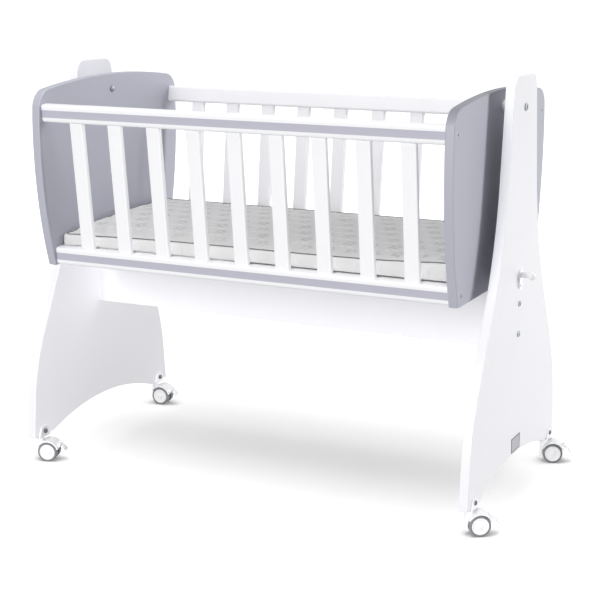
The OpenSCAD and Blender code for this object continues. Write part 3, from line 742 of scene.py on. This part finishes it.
def dress(
    piece: Piece, finish: Finish, body: str, stands_for: Iterable[str] = ()
) -> None:
    """Gives a piece its finish and its place in the frame.

    Args:
        piece: the finished piece.
        finish: what its surface is.
        body: the body it moves with.
        stands_for: frame nodes that it replaces.
    """
    piece.data.materials.clear()
    piece.data.materials.append(finish.material())
    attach(piece, body)
    if stands_for:
        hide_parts(*stands_for)
    log.info("%s: %s on %s", piece.name, finish.name, body)


def rounded_node(
    node: str,
    radius: float,
    finish: Finish,
    body: str,
    segments: int = 2,
    hole_radius: float | None = None,
) -> None:
    """Replaces a frame node by a copy of it with rounded edges.

    Args:
        node: the frame's node.
        radius: radius of its edges in millimetres.
        finish: what its surface is.
        body: the body that it moves with.
        segments: faces across a rounded edge.
        hole_radius: radius for the rims of small holes, the same as the rest by default.
    """
    piece = cad_copy(node)
    round_edges(piece, radius, segments, hole_radius)
    dress(piece, finish, body, [node])


def curved_node(node: str, finish: Finish, body: str) -> None:
    """Replaces a frame node, whose edges are rounded already, by a smoothly shaded copy.

    Args:
        node: the frame's node.
        finish: what its surface is.
        body: the body that it moves with.
    """
    piece = cad_copy(node)
    smooth(piece, CURVED)
    dress(piece, finish, body, [node])


def finish_node(node: str, finish: Finish) -> None:
    """Gives a frame node that stays as it is a better material.

    Args:
        node: the frame's node.
        finish: what its surface is.
    """
    mesh = frame["nodes"][node].data
    mesh.materials.clear()
    mesh.materials.append(finish.material())
    log.info("%s: %s as it is", node, finish.name)


# ---------------------------------------------------------------- sub-assemblies


@dataclass
class LabelPlate:
    """A bare plate on the right end's outer face, with a raised dark rim."""

    long: float = 50.0
    high: float = 29.0
    thick: float = 0.9
    corner: float = 2.0
    corner_faces: int = 5
    rim: float = 2.4
    sunk: float = 0.35
    edge: float = 0.15
    edge_faces: int = 2
    across: float = 5.5
    up: float = 104.5

    def build(self) -> None:
        """Makes the plate, its corners rounded and its field sunk inside the rim."""
        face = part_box("stand_end_right")[1].x
        centre = (face + self.thick * MM / 2, self.across * MM, self.up * MM)
        size = (self.thick * MM, self.long * MM, self.high * MM)
        plate = block("label_plate", centre, size)
        mesh = bmesh.new()
        mesh.from_mesh(plate.data)
        ways = {e: (e.verts[0].co - e.verts[1].co).normalized() for e in mesh.edges}
        corners = [e for e, way in ways.items() if abs(way.x) > FACING]
        bmesh.ops.bevel(
            mesh,
            geom=corners,
            offset=self.corner * MM,
            segments=self.corner_faces,
            affect="EDGES",
            profile=0.5,
        )
        front = [f for f in mesh.faces if f.normal.x > FACING]
        bmesh.ops.inset_region(mesh, faces=front, thickness=self.rim * MM, depth=-self.sunk * MM)
        mesh.to_mesh(plate.data)
        mesh.free()
        round_edges(plate, self.edge, self.edge_faces)
        dress(plate, LABEL_RIM, Body.STAND.value)
        plate.data.materials.append(LABEL_FACE.material())
        facing = (f for f in plate.data.polygons if f.normal.x > FACING)
        max(facing, key=lambda f: f.area).material_index = 1


@dataclass
class Stand:
    """The two end boards, the stretcher between them and what is screwed to them."""

    board_edge: float = 1.6
    board_faces: int = 3
    hole_rim: float = 0.3
    moulded_edge: float = 0.5
    metal_edge: float = 0.25

    def build(self) -> None:
        """Finishes the boards, the fittings and the bare label plate."""
        body = Body.STAND.value
        for node in ("stand_end_left", "stand_end_right", "stretcher_board"):
            rounded_node(
                node,
                self.board_edge,
                WHITE_BOARD,
                body,
                self.board_faces,
                self.hole_rim,
            )
        for node in ("caster_brackets", "pivot_bushes"):
            rounded_node(node, self.moulded_edge, NYLON, body)
        for node, finish, slot in (
            ("stretcher_bolts", BURNISHED, Slot.DARK_METAL),
            ("caster_bolts", BLACK_ZINC, Slot.DARK_METAL),
            ("caster_nuts", BLACK_ZINC, Slot.DARK_METAL),
            ("lock_plate", SATIN_ZINC, Slot.BRIGHT_METAL),
            ("lock_plate_screw", SATIN_ZINC, Slot.BRIGHT_METAL),
            ("caster_stems", ZINC, Slot.BRIGHT_METAL),
        ):
            rounded_node(node, self.metal_edge, finish, body)
        finish_node("stretcher_barrel_nuts", ZINC)
        finish_node("lock_bush", NYLON)
        LabelPlate().build()


@dataclass
class CradleFrame:
    """The swinging frame: end boards, rails, slats, base and pivots."""

    end_edge: float = 2.2
    end_faces: int = 4
    hole_rim: float = 0.3
    base_edge: float = 0.6
    batten_edge: float = 0.8
    metal_edge: float = 0.25
    moulded_edge: float = 0.4

    def build(self) -> None:
        """Finishes every rigid piece of the cradle."""
        body = Body.CRADLE.value
        for node in ("cradle_end_left", "cradle_end_right"):
            rounded_node(
                node,
                self.end_edge,
                GREY_BOARD,
                body,
                self.end_faces,
                self.hole_rim,
            )
        for node in ("front_top_rail", "front_bottom_rail", "rear_top_rail", "rear_bottom_rail"):
            curved_node(node, WHITE_RAIL, body)
        for node in ("front_slats", "rear_slats"):
            curved_node(node, WHITE_SLAT, body)
        finish_node("rail_stripes", STRIPE_PAINT)
        rounded_node("base_board", self.base_edge, BASE_BOARD, body)
        rounded_node("base_battens", self.batten_edge, BEECH_X, body)
        rounded_node("end_battens", self.batten_edge, BEECH_Y, body)
        finish_node("rail_dowels", BEECH_X)
        rounded_node("pivot_bolts", self.metal_edge, BURNISHED, body)
        for node in ("rail_screws", "pivot_nuts"):
            rounded_node(node, self.metal_edge, ZINC_FLAKE, body)
        for node in ("pivot_spacers", "lock_keeper"):
            rounded_node(node, self.moulded_edge, NYLON, body)


@dataclass
class SwingLock:
    """The pull knob and its pin."""

    pin_edge: float = 0.4

    def build(self) -> None:
        """Finishes the pin and the ball knob."""
        body = Body.LOCK.value
        rounded_node("lock_pin", self.pin_edge, SATIN_ZINC, body)
        curved_node("lock_knob", KNOB_ABS, body)


@dataclass
class Caster:
    """One braked twin-wheel caster."""

    corner: Corner
    moulded_edge: float = 0.5
    hub_edge: float = 0.3

    def build(self) -> None:
        """Finishes the hood, lever, axle, hubs and tyres of one corner."""
        name = self.corner.value
        swivel, brake, wheels = f"caster_{name}", f"brake_{name}", f"wheels_{name}"
        rounded_node(f"caster_hood_{name}", self.moulded_edge, NYLON, swivel)
        rounded_node(f"brake_lever_{name}", self.moulded_edge, NYLON, brake)
        finish_node(f"caster_axle_{name}", ZINC)
        rounded_node(f"wheel_hubs_{name}", self.hub_edge, NYLON, wheels)
        curved_node(f"tyres_{name}", TYRE_RUBBER, wheels)


@dataclass
class Mattress:
    """The foam mattress in its printed cover, with piping round both edges.

    The cover is stuffed by a cloth simulation whose swelling is capped. The mattress then lies
    as it does in the cradle: slack at the near left, with the lower piping under the cover
    there and the corner pushed out, and high at the back. Sizes are in millimetres.
    """

    corner: float = 12.0
    corner_faces: int = 10
    border: float = 32.0  # height of the upper seam over the underside
    inset: float = 1.8  # how far the foam stays inside the frame's mattress, front and back
    end_inset: float = -0.4  # the same at its ends, which the cover reaches
    voxel: float = 5.5
    soft: float = 60.0  # degrees under which the cover's faces are shaded as one
    seam: float = 3.0  # depth of the strip along the upper seam that the stitches hold
    under: float = 0.5  # how far over the lower seam the weight still holds the underside
    crown: float = 10.0  # height of the top's middle over the upper seam
    crown_reach: float = 95.0  # how far in from the edge the crown is full
    bulge: float = 1.6  # how far the sides swell
    least: float = 0.1  # least crown by which a movement is divided
    ripple: float = 0.7  # height of the top's unevenness
    ripple_pitch: float = 26.0  # ripples to the metre
    piping: float = 1.6  # radius of the cord
    piping_sunk: float = 0.3  # how far its middle lies under the cover's surface
    piping_points: int = 480
    piping_faces: int = 3  # faces over a quarter turn of the cord, less one
    piping_soft: float = 80.0  # degrees under which the cord's faces are shaded as one
    look_out: float = 20.0  # how far outside a seam the cover is looked for
    look_in: float = 60.0  # how far in from there
    tuck: float = 7.0  # how far the near lower piping lies under the cover at the left
    tuck_from: float = -20.0  # where that starts, and over what length it comes
    tuck_run: float = 60.0
    near_sag: float = -5.3  # how far the near upper edge moves, up or down, at its middle
    near_twist: float = 8.5  # how much higher than that it is at the right, and lower at the left
    near_low: float = -9.5  # the lowest that it gets
    far_rise: float = 6.5  # how far the far upper edge moves up
    corner_out: float = 5.0  # how far the near left corner is pushed out
    corner_from: float = -376.0  # where that starts, and over what length it comes
    corner_run: float = 20.0
    frames: int = 20  # how long the cloth runs
    half_x: float = field(init=False)
    half_y: float = field(init=False)
    bottom: float = field(init=False)
    low_seam: float = field(init=False)
    high_seam: float = field(init=False)

    def __post_init__(self) -> None:
        """Takes the outline and the heights of the seams, in metres, from the frame."""
        low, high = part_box("mattress")
        self.half_x = (high.x - low.x) / 2 - self.end_inset * MM
        self.half_y = (high.y - low.y) / 2 - self.inset * MM
        self.bottom = low.z
        self.low_seam = low.z + self.piping * MM
        self.high_seam = low.z + self.border * MM

    def build(self) -> None:
        """Makes the padded body and the two pipings."""
        pad = self.foam()
        self.settle(pad)
        smooth(pad, self.soft)
        dress(pad, TICKING, Body.CRADLE.value, ["mattress"])
        surface = BVHTree.FromObject(pad, bpy.context.evaluated_depsgraph_get())
        for name, level in (("piping_low", self.low_seam), ("piping_high", self.high_seam)):
            cord = self.piping_round(surface, name, level)
            dress(cord, PIPING_TAPE, Body.CRADLE.value)

    def foam(self) -> Piece:
        """The foam before it is stuffed: a slab with rounded corners, remeshed evenly.

        Returns:
            The slab, its vertices a voxel apart.
        """
        height = self.high_seam - self.bottom
        size = (2 * self.half_x, 2 * self.half_y, height)
        pad = block("mattress_pad", (0, 0, self.bottom + height / 2), size)
        mesh = bmesh.new()
        mesh.from_mesh(pad.data)
        posts = [e for e in mesh.edges if abs(e.verts[0].co.z - e.verts[1].co.z) > height / 2]
        bmesh.ops.bevel(
            mesh,
            geom=posts,
            offset=self.corner * MM,
            segments=self.corner_faces,
            affect="EDGES",
            profile=0.5,
        )
        mesh.to_mesh(pad.data)
        mesh.free()
        pick_only(pad)
        remesh = pad.modifiers.new("even", "REMESH")
        remesh.mode = "VOXEL"
        remesh.voxel_size = self.voxel * MM
        bpy.ops.object.modifier_apply(modifier=remesh.name)
        return pad

    def on_top(self, spot: Vector) -> bool:
        """Whether a point of the unstuffed foam is on its top or along the upper seam."""
        return spot.z > self.high_seam - self.seam * MM

    def edge_distance(self, spot: Vector) -> float:
        """Distance of a point inside the rounded outline from that outline.

        Args:
            spot: the point.

        Returns:
            The distance in metres.
        """
        radius = self.corner * MM
        dx = abs(spot.x) - (self.half_x - radius)
        dy = abs(spot.y) - (self.half_y - radius)
        outside = math.hypot(max(dx, 0.0), max(dy, 0.0))
        return radius - outside - min(max(dx, dy), 0.0)

    def held(self, spot: Vector) -> bool:
        """Whether the seams or the weight on the underside hold a vertex."""
        at_seam = self.on_top(spot) and self.edge_distance(spot) < self.voxel * MM
        return spot.z < self.low_seam + self.under * MM or at_seam

    def settle(self, pad: Piece) -> None:
        """Stuffs the cover and lays the mattress in the cradle, then smooths it once.

        Args:
            pad: the foam, which is changed.
        """
        rest = [v.co.copy() for v in pad.data.vertices]
        moved = self.stuffed(pad)
        for vertex, start, end in zip(pad.data.vertices, rest, moved):
            vertex.co = start + self.capped(end - start, start) + self.lie(start)
        subdivide = pad.modifiers.new("soft", "SUBSURF")
        subdivide.levels = subdivide.render_levels = 1
        pick_only(pad)
        bpy.ops.object.modifier_apply(modifier=subdivide.name)

    def lie(self, spot: Vector) -> Vector:
        """How far a point is moved by the way the mattress lies in the cradle.

        Args:
            spot: where the point is on the flat mattress.

        Returns:
            The movement in metres.
        """
        nearness = (0.5 - clamped(spot.y / self.half_y, -1.0) / 2) ** 2
        near = max(self.near_sag + self.near_twist * (spot.x / self.half_x) ** 3, self.near_low)
        level = clamped((spot.z - self.bottom) / (self.high_seam - self.bottom))
        rise = (self.far_rise + (near - self.far_rise) * nearness) * level
        corner = clamped((self.corner_from * MM - spot.x) / (self.corner_run * MM)) * nearness
        return Vector((0.0, -self.corner_out * corner, rise)) * MM

    def tucked(self, spot: Vector) -> float:
        """How far in, in millimetres, the lower piping lies under the cover at a point.

        Args:
            spot: the point on the lower seam.

        Returns:
            The depth in millimetres: full at the near left, and none at the back.
        """
        if spot.y > 0:
            return 0.0
        return self.tuck * clamped((self.tuck_from * MM - spot.x) / (self.tuck_run * MM))

    def puff(self, spot: Vector) -> float:
        """Height of the crown at a point: full at the near seam, flat towards the far one.

        Args:
            spot: the point on the unstuffed foam.

        Returns:
            The height in metres.
        """
        share = min(self.edge_distance(spot) / (self.crown_reach * MM), 1.0)
        round_rise = math.sqrt(max(0.0, 1 - (1 - share) ** 2))
        back = clamped(spot.y / self.half_y)
        return self.crown * MM * round_rise * (1 - back * (1 - share))

    def stuffed(self, pad: Piece) -> list[Vector]:
        """Runs the cloth under pressure, held at its seams, and returns where its vertices end.

        Args:
            pad: the foam, which gets the cloth for the time of the run.

        Returns:
            The places of its vertices after the last frame.
        """
        seams = pad.vertex_groups.new(name="seams")
        seams.add([v.index for v in pad.data.vertices if self.held(v.co)], 1.0, "REPLACE")
        cloth = pad.modifiers.new("stuffing", "CLOTH")
        cloth.settings.quality = 6
        cloth.settings.mass = 0.25
        cloth.settings.tension_stiffness = 25
        cloth.settings.compression_stiffness = 20
        cloth.settings.shear_stiffness = 12
        cloth.settings.bending_stiffness = 1.2
        cloth.settings.use_pressure = True
        cloth.settings.uniform_pressure_force = 4.0
        cloth.settings.shrink_min = -0.015
        cloth.settings.vertex_group_mass = seams.name
        cloth.settings.effector_weights.gravity = 0.0
        cloth.collision_settings.use_collision = False
        cloth.point_cache.frame_start = 1
        cloth.point_cache.frame_end = self.frames
        scene = bpy.context.scene
        for number in range(1, self.frames + 1):
            scene.frame_set(number)
        graph = bpy.context.evaluated_depsgraph_get()
        result = [v.co.copy() for v in pad.evaluated_get(graph).data.vertices]
        pad.modifiers.remove(cloth)
        pad.vertex_groups.clear()
        scene.frame_set(1)
        return result

    def capped(self, move: Vector, start: Vector) -> Vector:
        """Limits a vertex's movement, softly, to the crown upwards and the bulge sideways.

        Args:
            move: how far the stuffing moved the vertex.
            start: where the vertex was.

        Returns:
            The movement that is kept.
        """
        share = min(self.edge_distance(start) / (self.crown_reach * MM), 1.0)
        crown = self.puff(start)
        wave = 0.0
        if self.on_top(start):
            wave = self.ripple * MM * noise(start * self.ripple_pitch) * share
        up = crown * math.tanh(max(move.z, 0.0) / max(crown, self.least * MM)) if crown > 0 else 0.0
        side = Vector((move.x, move.y, 0.0))
        limit = self.bulge * MM
        if side.length > 0:
            side *= limit * math.tanh(side.length / limit) / side.length
        return Vector((side.x, side.y, up + wave))

    def outline(self, count: int) -> list[tuple[Vector, Vector]]:
        """Points and outward directions evenly round the rounded outline.

        Args:
            count: how many points are made.

        Returns:
            Each point, at height 0, with its direction.
        """
        radius = self.corner * MM
        cx, cy = self.half_x - radius, self.half_y - radius
        arc = math.pi / 2 * radius
        runs = [2 * cy, arc, 2 * cx, arc] * 2
        total = sum(runs)
        made = []
        for i in range(count):
            along = total * i / count
            leg = 0
            while along > runs[leg]:
                along -= runs[leg]
                leg += 1
            quarter = leg // 2
            angle = quarter * math.pi / 2
            if leg % 2 == 0:
                normal = Vector((math.cos(angle), math.sin(angle), 0))
                tangent = Vector((-normal.y, normal.x, 0))
                reach, half = (cx, cy) if quarter % 2 == 0 else (cy, cx)
                spot = normal * (reach + radius) + tangent * (along - half)
            else:
                turn = angle + along / radius
                normal = Vector((math.cos(turn), math.sin(turn), 0))
                signs = [(1, 1), (-1, 1), (-1, -1), (1, -1)][quarter]
                spot = Vector((cx * signs[0], cy * signs[1], 0)) + normal * radius
            made.append((spot, normal))
        return made

    def piping_round(self, surface: BVHTree, name: str, level: float) -> Piece:
        """A piping cord laid on the cover's surface at the height of one seam.

        Args:
            surface: the cover's surface.
            name: the cord's name.
            level: height of the seam in metres.

        Returns:
            The cord as a mesh.
        """
        spots = []
        for spot, normal in self.outline(self.piping_points):
            seam = Vector((spot.x, spot.y, level))
            seam += self.lie(seam)
            start = seam + normal * self.look_out * MM
            hit = surface.ray_cast(start, -normal, self.look_in * MM)[0]
            sunk = self.tucked(seam) if level == self.low_seam else 0.0
            spots.append((hit if hit else seam) - normal * (self.piping_sunk + sunk) * MM)
        count = len(spots)
        even = [(spots[i - 1] + spots[i] * 2 + spots[(i + 1) % count]) / 4 for i in range(count)]
        curve = bpy.data.curves.new(name, "CURVE")
        curve.dimensions = "3D"
        curve.bevel_depth = self.piping * MM
        curve.bevel_resolution = self.piping_faces
        line = curve.splines.new("POLY")
        line.points.add(count - 1)
        for point, spot in zip(line.points, even):
            point.co = (*spot, 1.0)
        line.use_cyclic_u = True
        cord = bpy.data.objects.new(name, curve)
        bpy.context.scene.collection.objects.link(cord)
        pick_only(cord)
        bpy.ops.object.convert(target="MESH")
        cord = bpy.context.object
        cord.name = name
        smooth(cord, self.piping_soft)
        return cord


# ---------------------------------------------------------------- studio


class Hits(Enum):
    """What a lamp lights where it names no pieces: the object, or the floor alone."""

    OBJECT = "object"
    FLOOR = "floor"


@dataclass(frozen=True)
class Lamp:
    """A soft box: where it hangs as azimuth, height angle and distance, and how much it gives.

    The angles are in degrees, the azimuth from +X towards +Y, and the sizes in metres. Level
    is the brightness of a white surface that faces the lamp at the centre of the object. A
    lamp without shadow is a fill for the pieces that it names, and the pieces in spare are
    left out of its light. Where blockers are named only they cast its shadow, and its light
    passes through the pieces in through. Pieces are named by how their names start.
    """

    name: str
    azimuth: float
    rise: float
    distance: float
    width: float
    height: float
    level: float
    hits: Hits = Hits.OBJECT
    only: tuple[str, ...] = ()
    spare: tuple[str, ...] = ()
    shadow: bool = True
    blockers: tuple[str, ...] = ()
    through: tuple[str, ...] = ()


def fill(
    name: str,
    azimuth: float,
    rise: float,
    distance: float,
    width: float,
    height: float,
    level: float,
    *only: str,
) -> Lamp:
    """A fill: a lamp without shadow for the pieces whose names start with one of only."""
    return Lamp(name, azimuth, rise, distance, width, height, level, only=only, shadow=False)


@dataclass
class Studio:
    """Pale floor, soft lights and the camera. Sizes are in metres."""

    camera_place: tuple[float, float, float] = (1.296871, -2.587113, 1.006141)
    camera_towards: tuple[float, float, float] = (-0.43152, 0.87344, -0.22507)
    lens: float = 88.6
    sensor: float = 36.0
    centre: tuple[float, float, float] = (0.0, 0.0, 0.415)
    sky: float = 0.16
    floor_radius: float = 30.0
    floor_seen: str = "#CBCBCB"  # the floor's colour to the camera
    floor_bounce: str = "#8C8C8C"  # the floor's colour to the light that it throws back
    floor_level: float = 1.62  # what the lamps give to the open floor
    floor_glare: float = 1.3  # how bright the open floor is to the camera, where 1 is white
    pool: tuple[float, float] = (0.6, 4.0)  # radii between which the lamps' light fades
    lamps: tuple[Lamp, ...] = (
        Lamp("front_softbox", -95.0, 12.0, 7.0, 2.4, 4.6, 0.76, spare=("mattress_pad", "piping")),
        Lamp("right_strip", 25.0, 11.0, 6.0, 1.2, 4.6, 0.77, spare=("stand_end_left_finished",)),
        Lamp(
            "top_softbox", -100.0, 83.0, 4.2, 2.4, 3.0, 0.56,
            spare=("mattress_pad", "cradle_end_right_finished"),
        ),
        Lamp(
            "floor_softbox", -90.0, 83.2, 4.2, 2.0, 4.0, 1.2, Hits.FLOOR,
            through=("stand_end_",),
        ),
        Lamp(
            "contact_softbox", -90.0, 83.2, 4.2, 6.0, 6.0, 1.5, Hits.FLOOR,
            blockers=("caster_", "brake_lever", "wheel_hubs", "tyres"),
        ),
        fill("side_fill", 2.0, 8.0, 6.0, 2.0, 3.0, 0.55, "stand_end_left_finished"),
        fill("end_fill", 2.0, 8.0, 6.0, 2.0, 3.0, 0.07, "cradle_end_left_finished"),
        fill("slat_fill", -7.0, 8.0, 6.0, 2.0, 3.0, 0.27, "front_slats_finished"),
        fill("front_fill", -92.0, 4.0, 7.0, 3.0, 2.0, 0.11, "stretcher_board_finished"),
        fill(
            "caster_fill", -70.0, 15.0, 7.0, 3.0, 2.0, 0.3,
            "caster_hood", "brake_lever", "wheel_hubs", "caster_brackets",
        ),
        fill("mattress_fill", -90.0, 62.0, 6.0, 3.0, 3.0, 0.43, "mattress_pad", "piping"),
        fill("band_fill", -93.0, 10.0, 6.0, 3.0, 3.0, 0.59, "mattress_pad", "piping"),
    )

    def build(self) -> None:
        """Makes the camera, the floor, the world and the lamps, round the finished object."""
        self.camera()
        floor = self.floor()
        self.world()
        for lamp in self.lamps:
            self.hang(lamp, floor)

    def camera(self) -> None:
        """The camera of the photograph: its place, direction and lens."""
        data = bpy.data.cameras.new("camera")
        data.sensor_width = self.sensor
        data.lens = self.lens
        camera = bpy.data.objects.new("camera", data)
        camera.location = self.camera_place
        camera.rotation_euler = Vector(self.camera_towards).to_track_quat("-Z", "Y").to_euler()
        bpy.context.scene.collection.objects.link(camera)
        bpy.context.scene.camera = camera

    def seen(self, tree: Tree) -> Socket:
        """1 for rays from the camera, a mirror or glass, 0 for light that is scattered.

        Args:
            tree: the node tree that asks.

        Returns:
            The 1 or the 0.
        """
        path = add_node(tree, "ShaderNodeLightPath").outputs
        direct = maths(tree, "MAXIMUM", path["Is Camera Ray"], path["Is Glossy Ray"])
        return maths(tree, "MAXIMUM", direct, path["Is Transmission Ray"])

    def floor(self) -> Piece:
        """A pale floor that keeps the shadow and is white to the camera where it is lit.

        Returns:
            The floor.
        """
        bpy.ops.object.select_all(action="DESELECT")
        bpy.ops.mesh.primitive_circle_add(
            vertices=96, radius=self.floor_radius, fill_type="NGON", location=(0, 0, 0)
        )
        floor = bpy.context.object
        floor.name = "studio_floor"
        paper = bpy.data.materials.new("studio_paper")
        paper.use_nodes = True
        tree = paper.node_tree
        shader = tree.nodes["Principled BSDF"]
        seen = self.seen(tree)
        colour = blend(tree, seen, self.floor_bounce, self.floor_seen)
        tree.links.new(colour, shader.inputs["Base Color"])
        shader.inputs["Roughness"].default_value = 1.0
        shader.inputs["Specular IOR Level"].default_value = 0.0
        place = add_node(tree, "ShaderNodeTexCoord").outputs["Object"]
        reach = add_node(tree, "ShaderNodeVectorMath", {0: place}, operation="LENGTH")
        # The lamps light a pool round the object, so what they lack further out is added back
        start, end = self.pool
        pool = add_node(
            tree, "ShaderNodeMapRange",
            {"Value": reach.outputs["Value"], "From Min": start, "From Max": end},
            interpolation_type="SMOOTHSTEP",
        ).outputs["Result"]
        # Overexposed, as in the photograph: the shadow's faint rim is lost in the white
        near = self.floor_glare - linear(self.floor_seen)[0] * (self.floor_level + self.sky)
        lift = maths(tree, "MULTIPLY", seen, ramped(tree, pool, 0.0, 1.0, near, 1.0))
        glow = add_node(tree, "ShaderNodeEmission", {"Strength": lift})
        both = add_node(tree, "ShaderNodeAddShader", {0: shader.outputs[0], 1: glow.outputs[0]})
        tree.links.new(both.outputs[0], tree.nodes["Material Output"].inputs["Surface"])
        floor.data.materials.append(paper)
        return floor

    def world(self) -> None:
        """White for the camera, a soft grey sky for everything else."""
        world = bpy.data.worlds.new("studio")
        bpy.context.scene.world = world
        world.use_nodes = True
        tree = world.node_tree
        back = tree.nodes["Background"]
        back.inputs["Color"].default_value = linear("#FFFFFF")
        level = ramped(tree, self.seen(tree), 0.0, 1.0, self.sky, 1.0)
        tree.links.new(level, back.inputs["Strength"])

    def hang(self, lamp: Lamp, floor: Piece) -> None:
        """Hangs one soft box and says what it lights and what casts its shadow.

        Args:
            lamp: the soft box.
            floor: the floor, which most soft boxes leave alone.
        """
        data = bpy.data.lights.new(lamp.name, "AREA")
        data.shape = "RECTANGLE"
        data.size, data.size_y = lamp.width, lamp.height
        data.energy = lamp.level * (math.pi * lamp.distance) ** 2
        data.use_shadow = lamp.shadow
        turn, rise = math.radians(lamp.azimuth), math.radians(lamp.rise)
        aside = math.cos(rise)
        out = Vector((aside * math.cos(turn), aside * math.sin(turn), math.sin(rise)))
        box = bpy.data.objects.new(lamp.name, data)
        box.location = Vector(self.centre) + out * lamp.distance
        box.rotation_euler = (-out).to_track_quat("-Z", "Y").to_euler()
        bpy.context.scene.collection.objects.link(box)
        chosen, spared = self.named(lamp.only), self.named(lamp.spare)
        if lamp.hits is Hits.FLOOR:
            chosen.append(floor)
        elif not chosen:
            spared.append(floor)
        blockers, through = self.named(lamp.blockers), self.named(lamp.through)
        linking = box.light_linking
        linking.receiver_collection = self.linked(f"{lamp.name}_lights", chosen, spared)
        linking.blocker_collection = self.linked(f"{lamp.name}_blockers", blockers, through)

    def named(self, starts: tuple[str, ...]) -> list[Piece]:
        """The meshes whose names start with one of the given words; none without a word."""
        meshes = (piece for piece in bpy.data.objects if piece.type == "MESH")
        return [piece for piece in meshes if piece.name.startswith(starts)]

    def linked(
        self, name: str, chosen: Sequence[Piece], spared: Sequence[Piece]
    ) -> bpy.types.Collection | None:
        """A light-linking collection.

        Args:
            name: the collection's name.
            chosen: pieces that the link is for, or all when there are none.
            spared: pieces that it leaves out.

        Returns:
            The collection, or None where the link is for everything.
        """
        if not chosen and not spared:
            return None
        group = bpy.data.collections.new(name)
        for piece in (*chosen, *spared):
            group.objects.link(piece)
        for link, piece in zip(group.collection_objects, (*chosen, *spared)):
            link.light_linking.link_state = "INCLUDE" if piece in chosen else "EXCLUDE"
        return group


def main() -> None:
    """Builds the object, one sub-assembly after another, and then the studio round it."""
    logging.basicConfig(level=logging.INFO, format="%(message)s")
    bpy.context.scene.view_settings.view_transform = "Standard"
    Stand().build()
    CradleFrame().build()
    Mattress().build()
    SwingLock().build()
    for corner in Corner:
        Caster(corner).build()
    Studio().build()


if __name__ == "__main__":
    main()
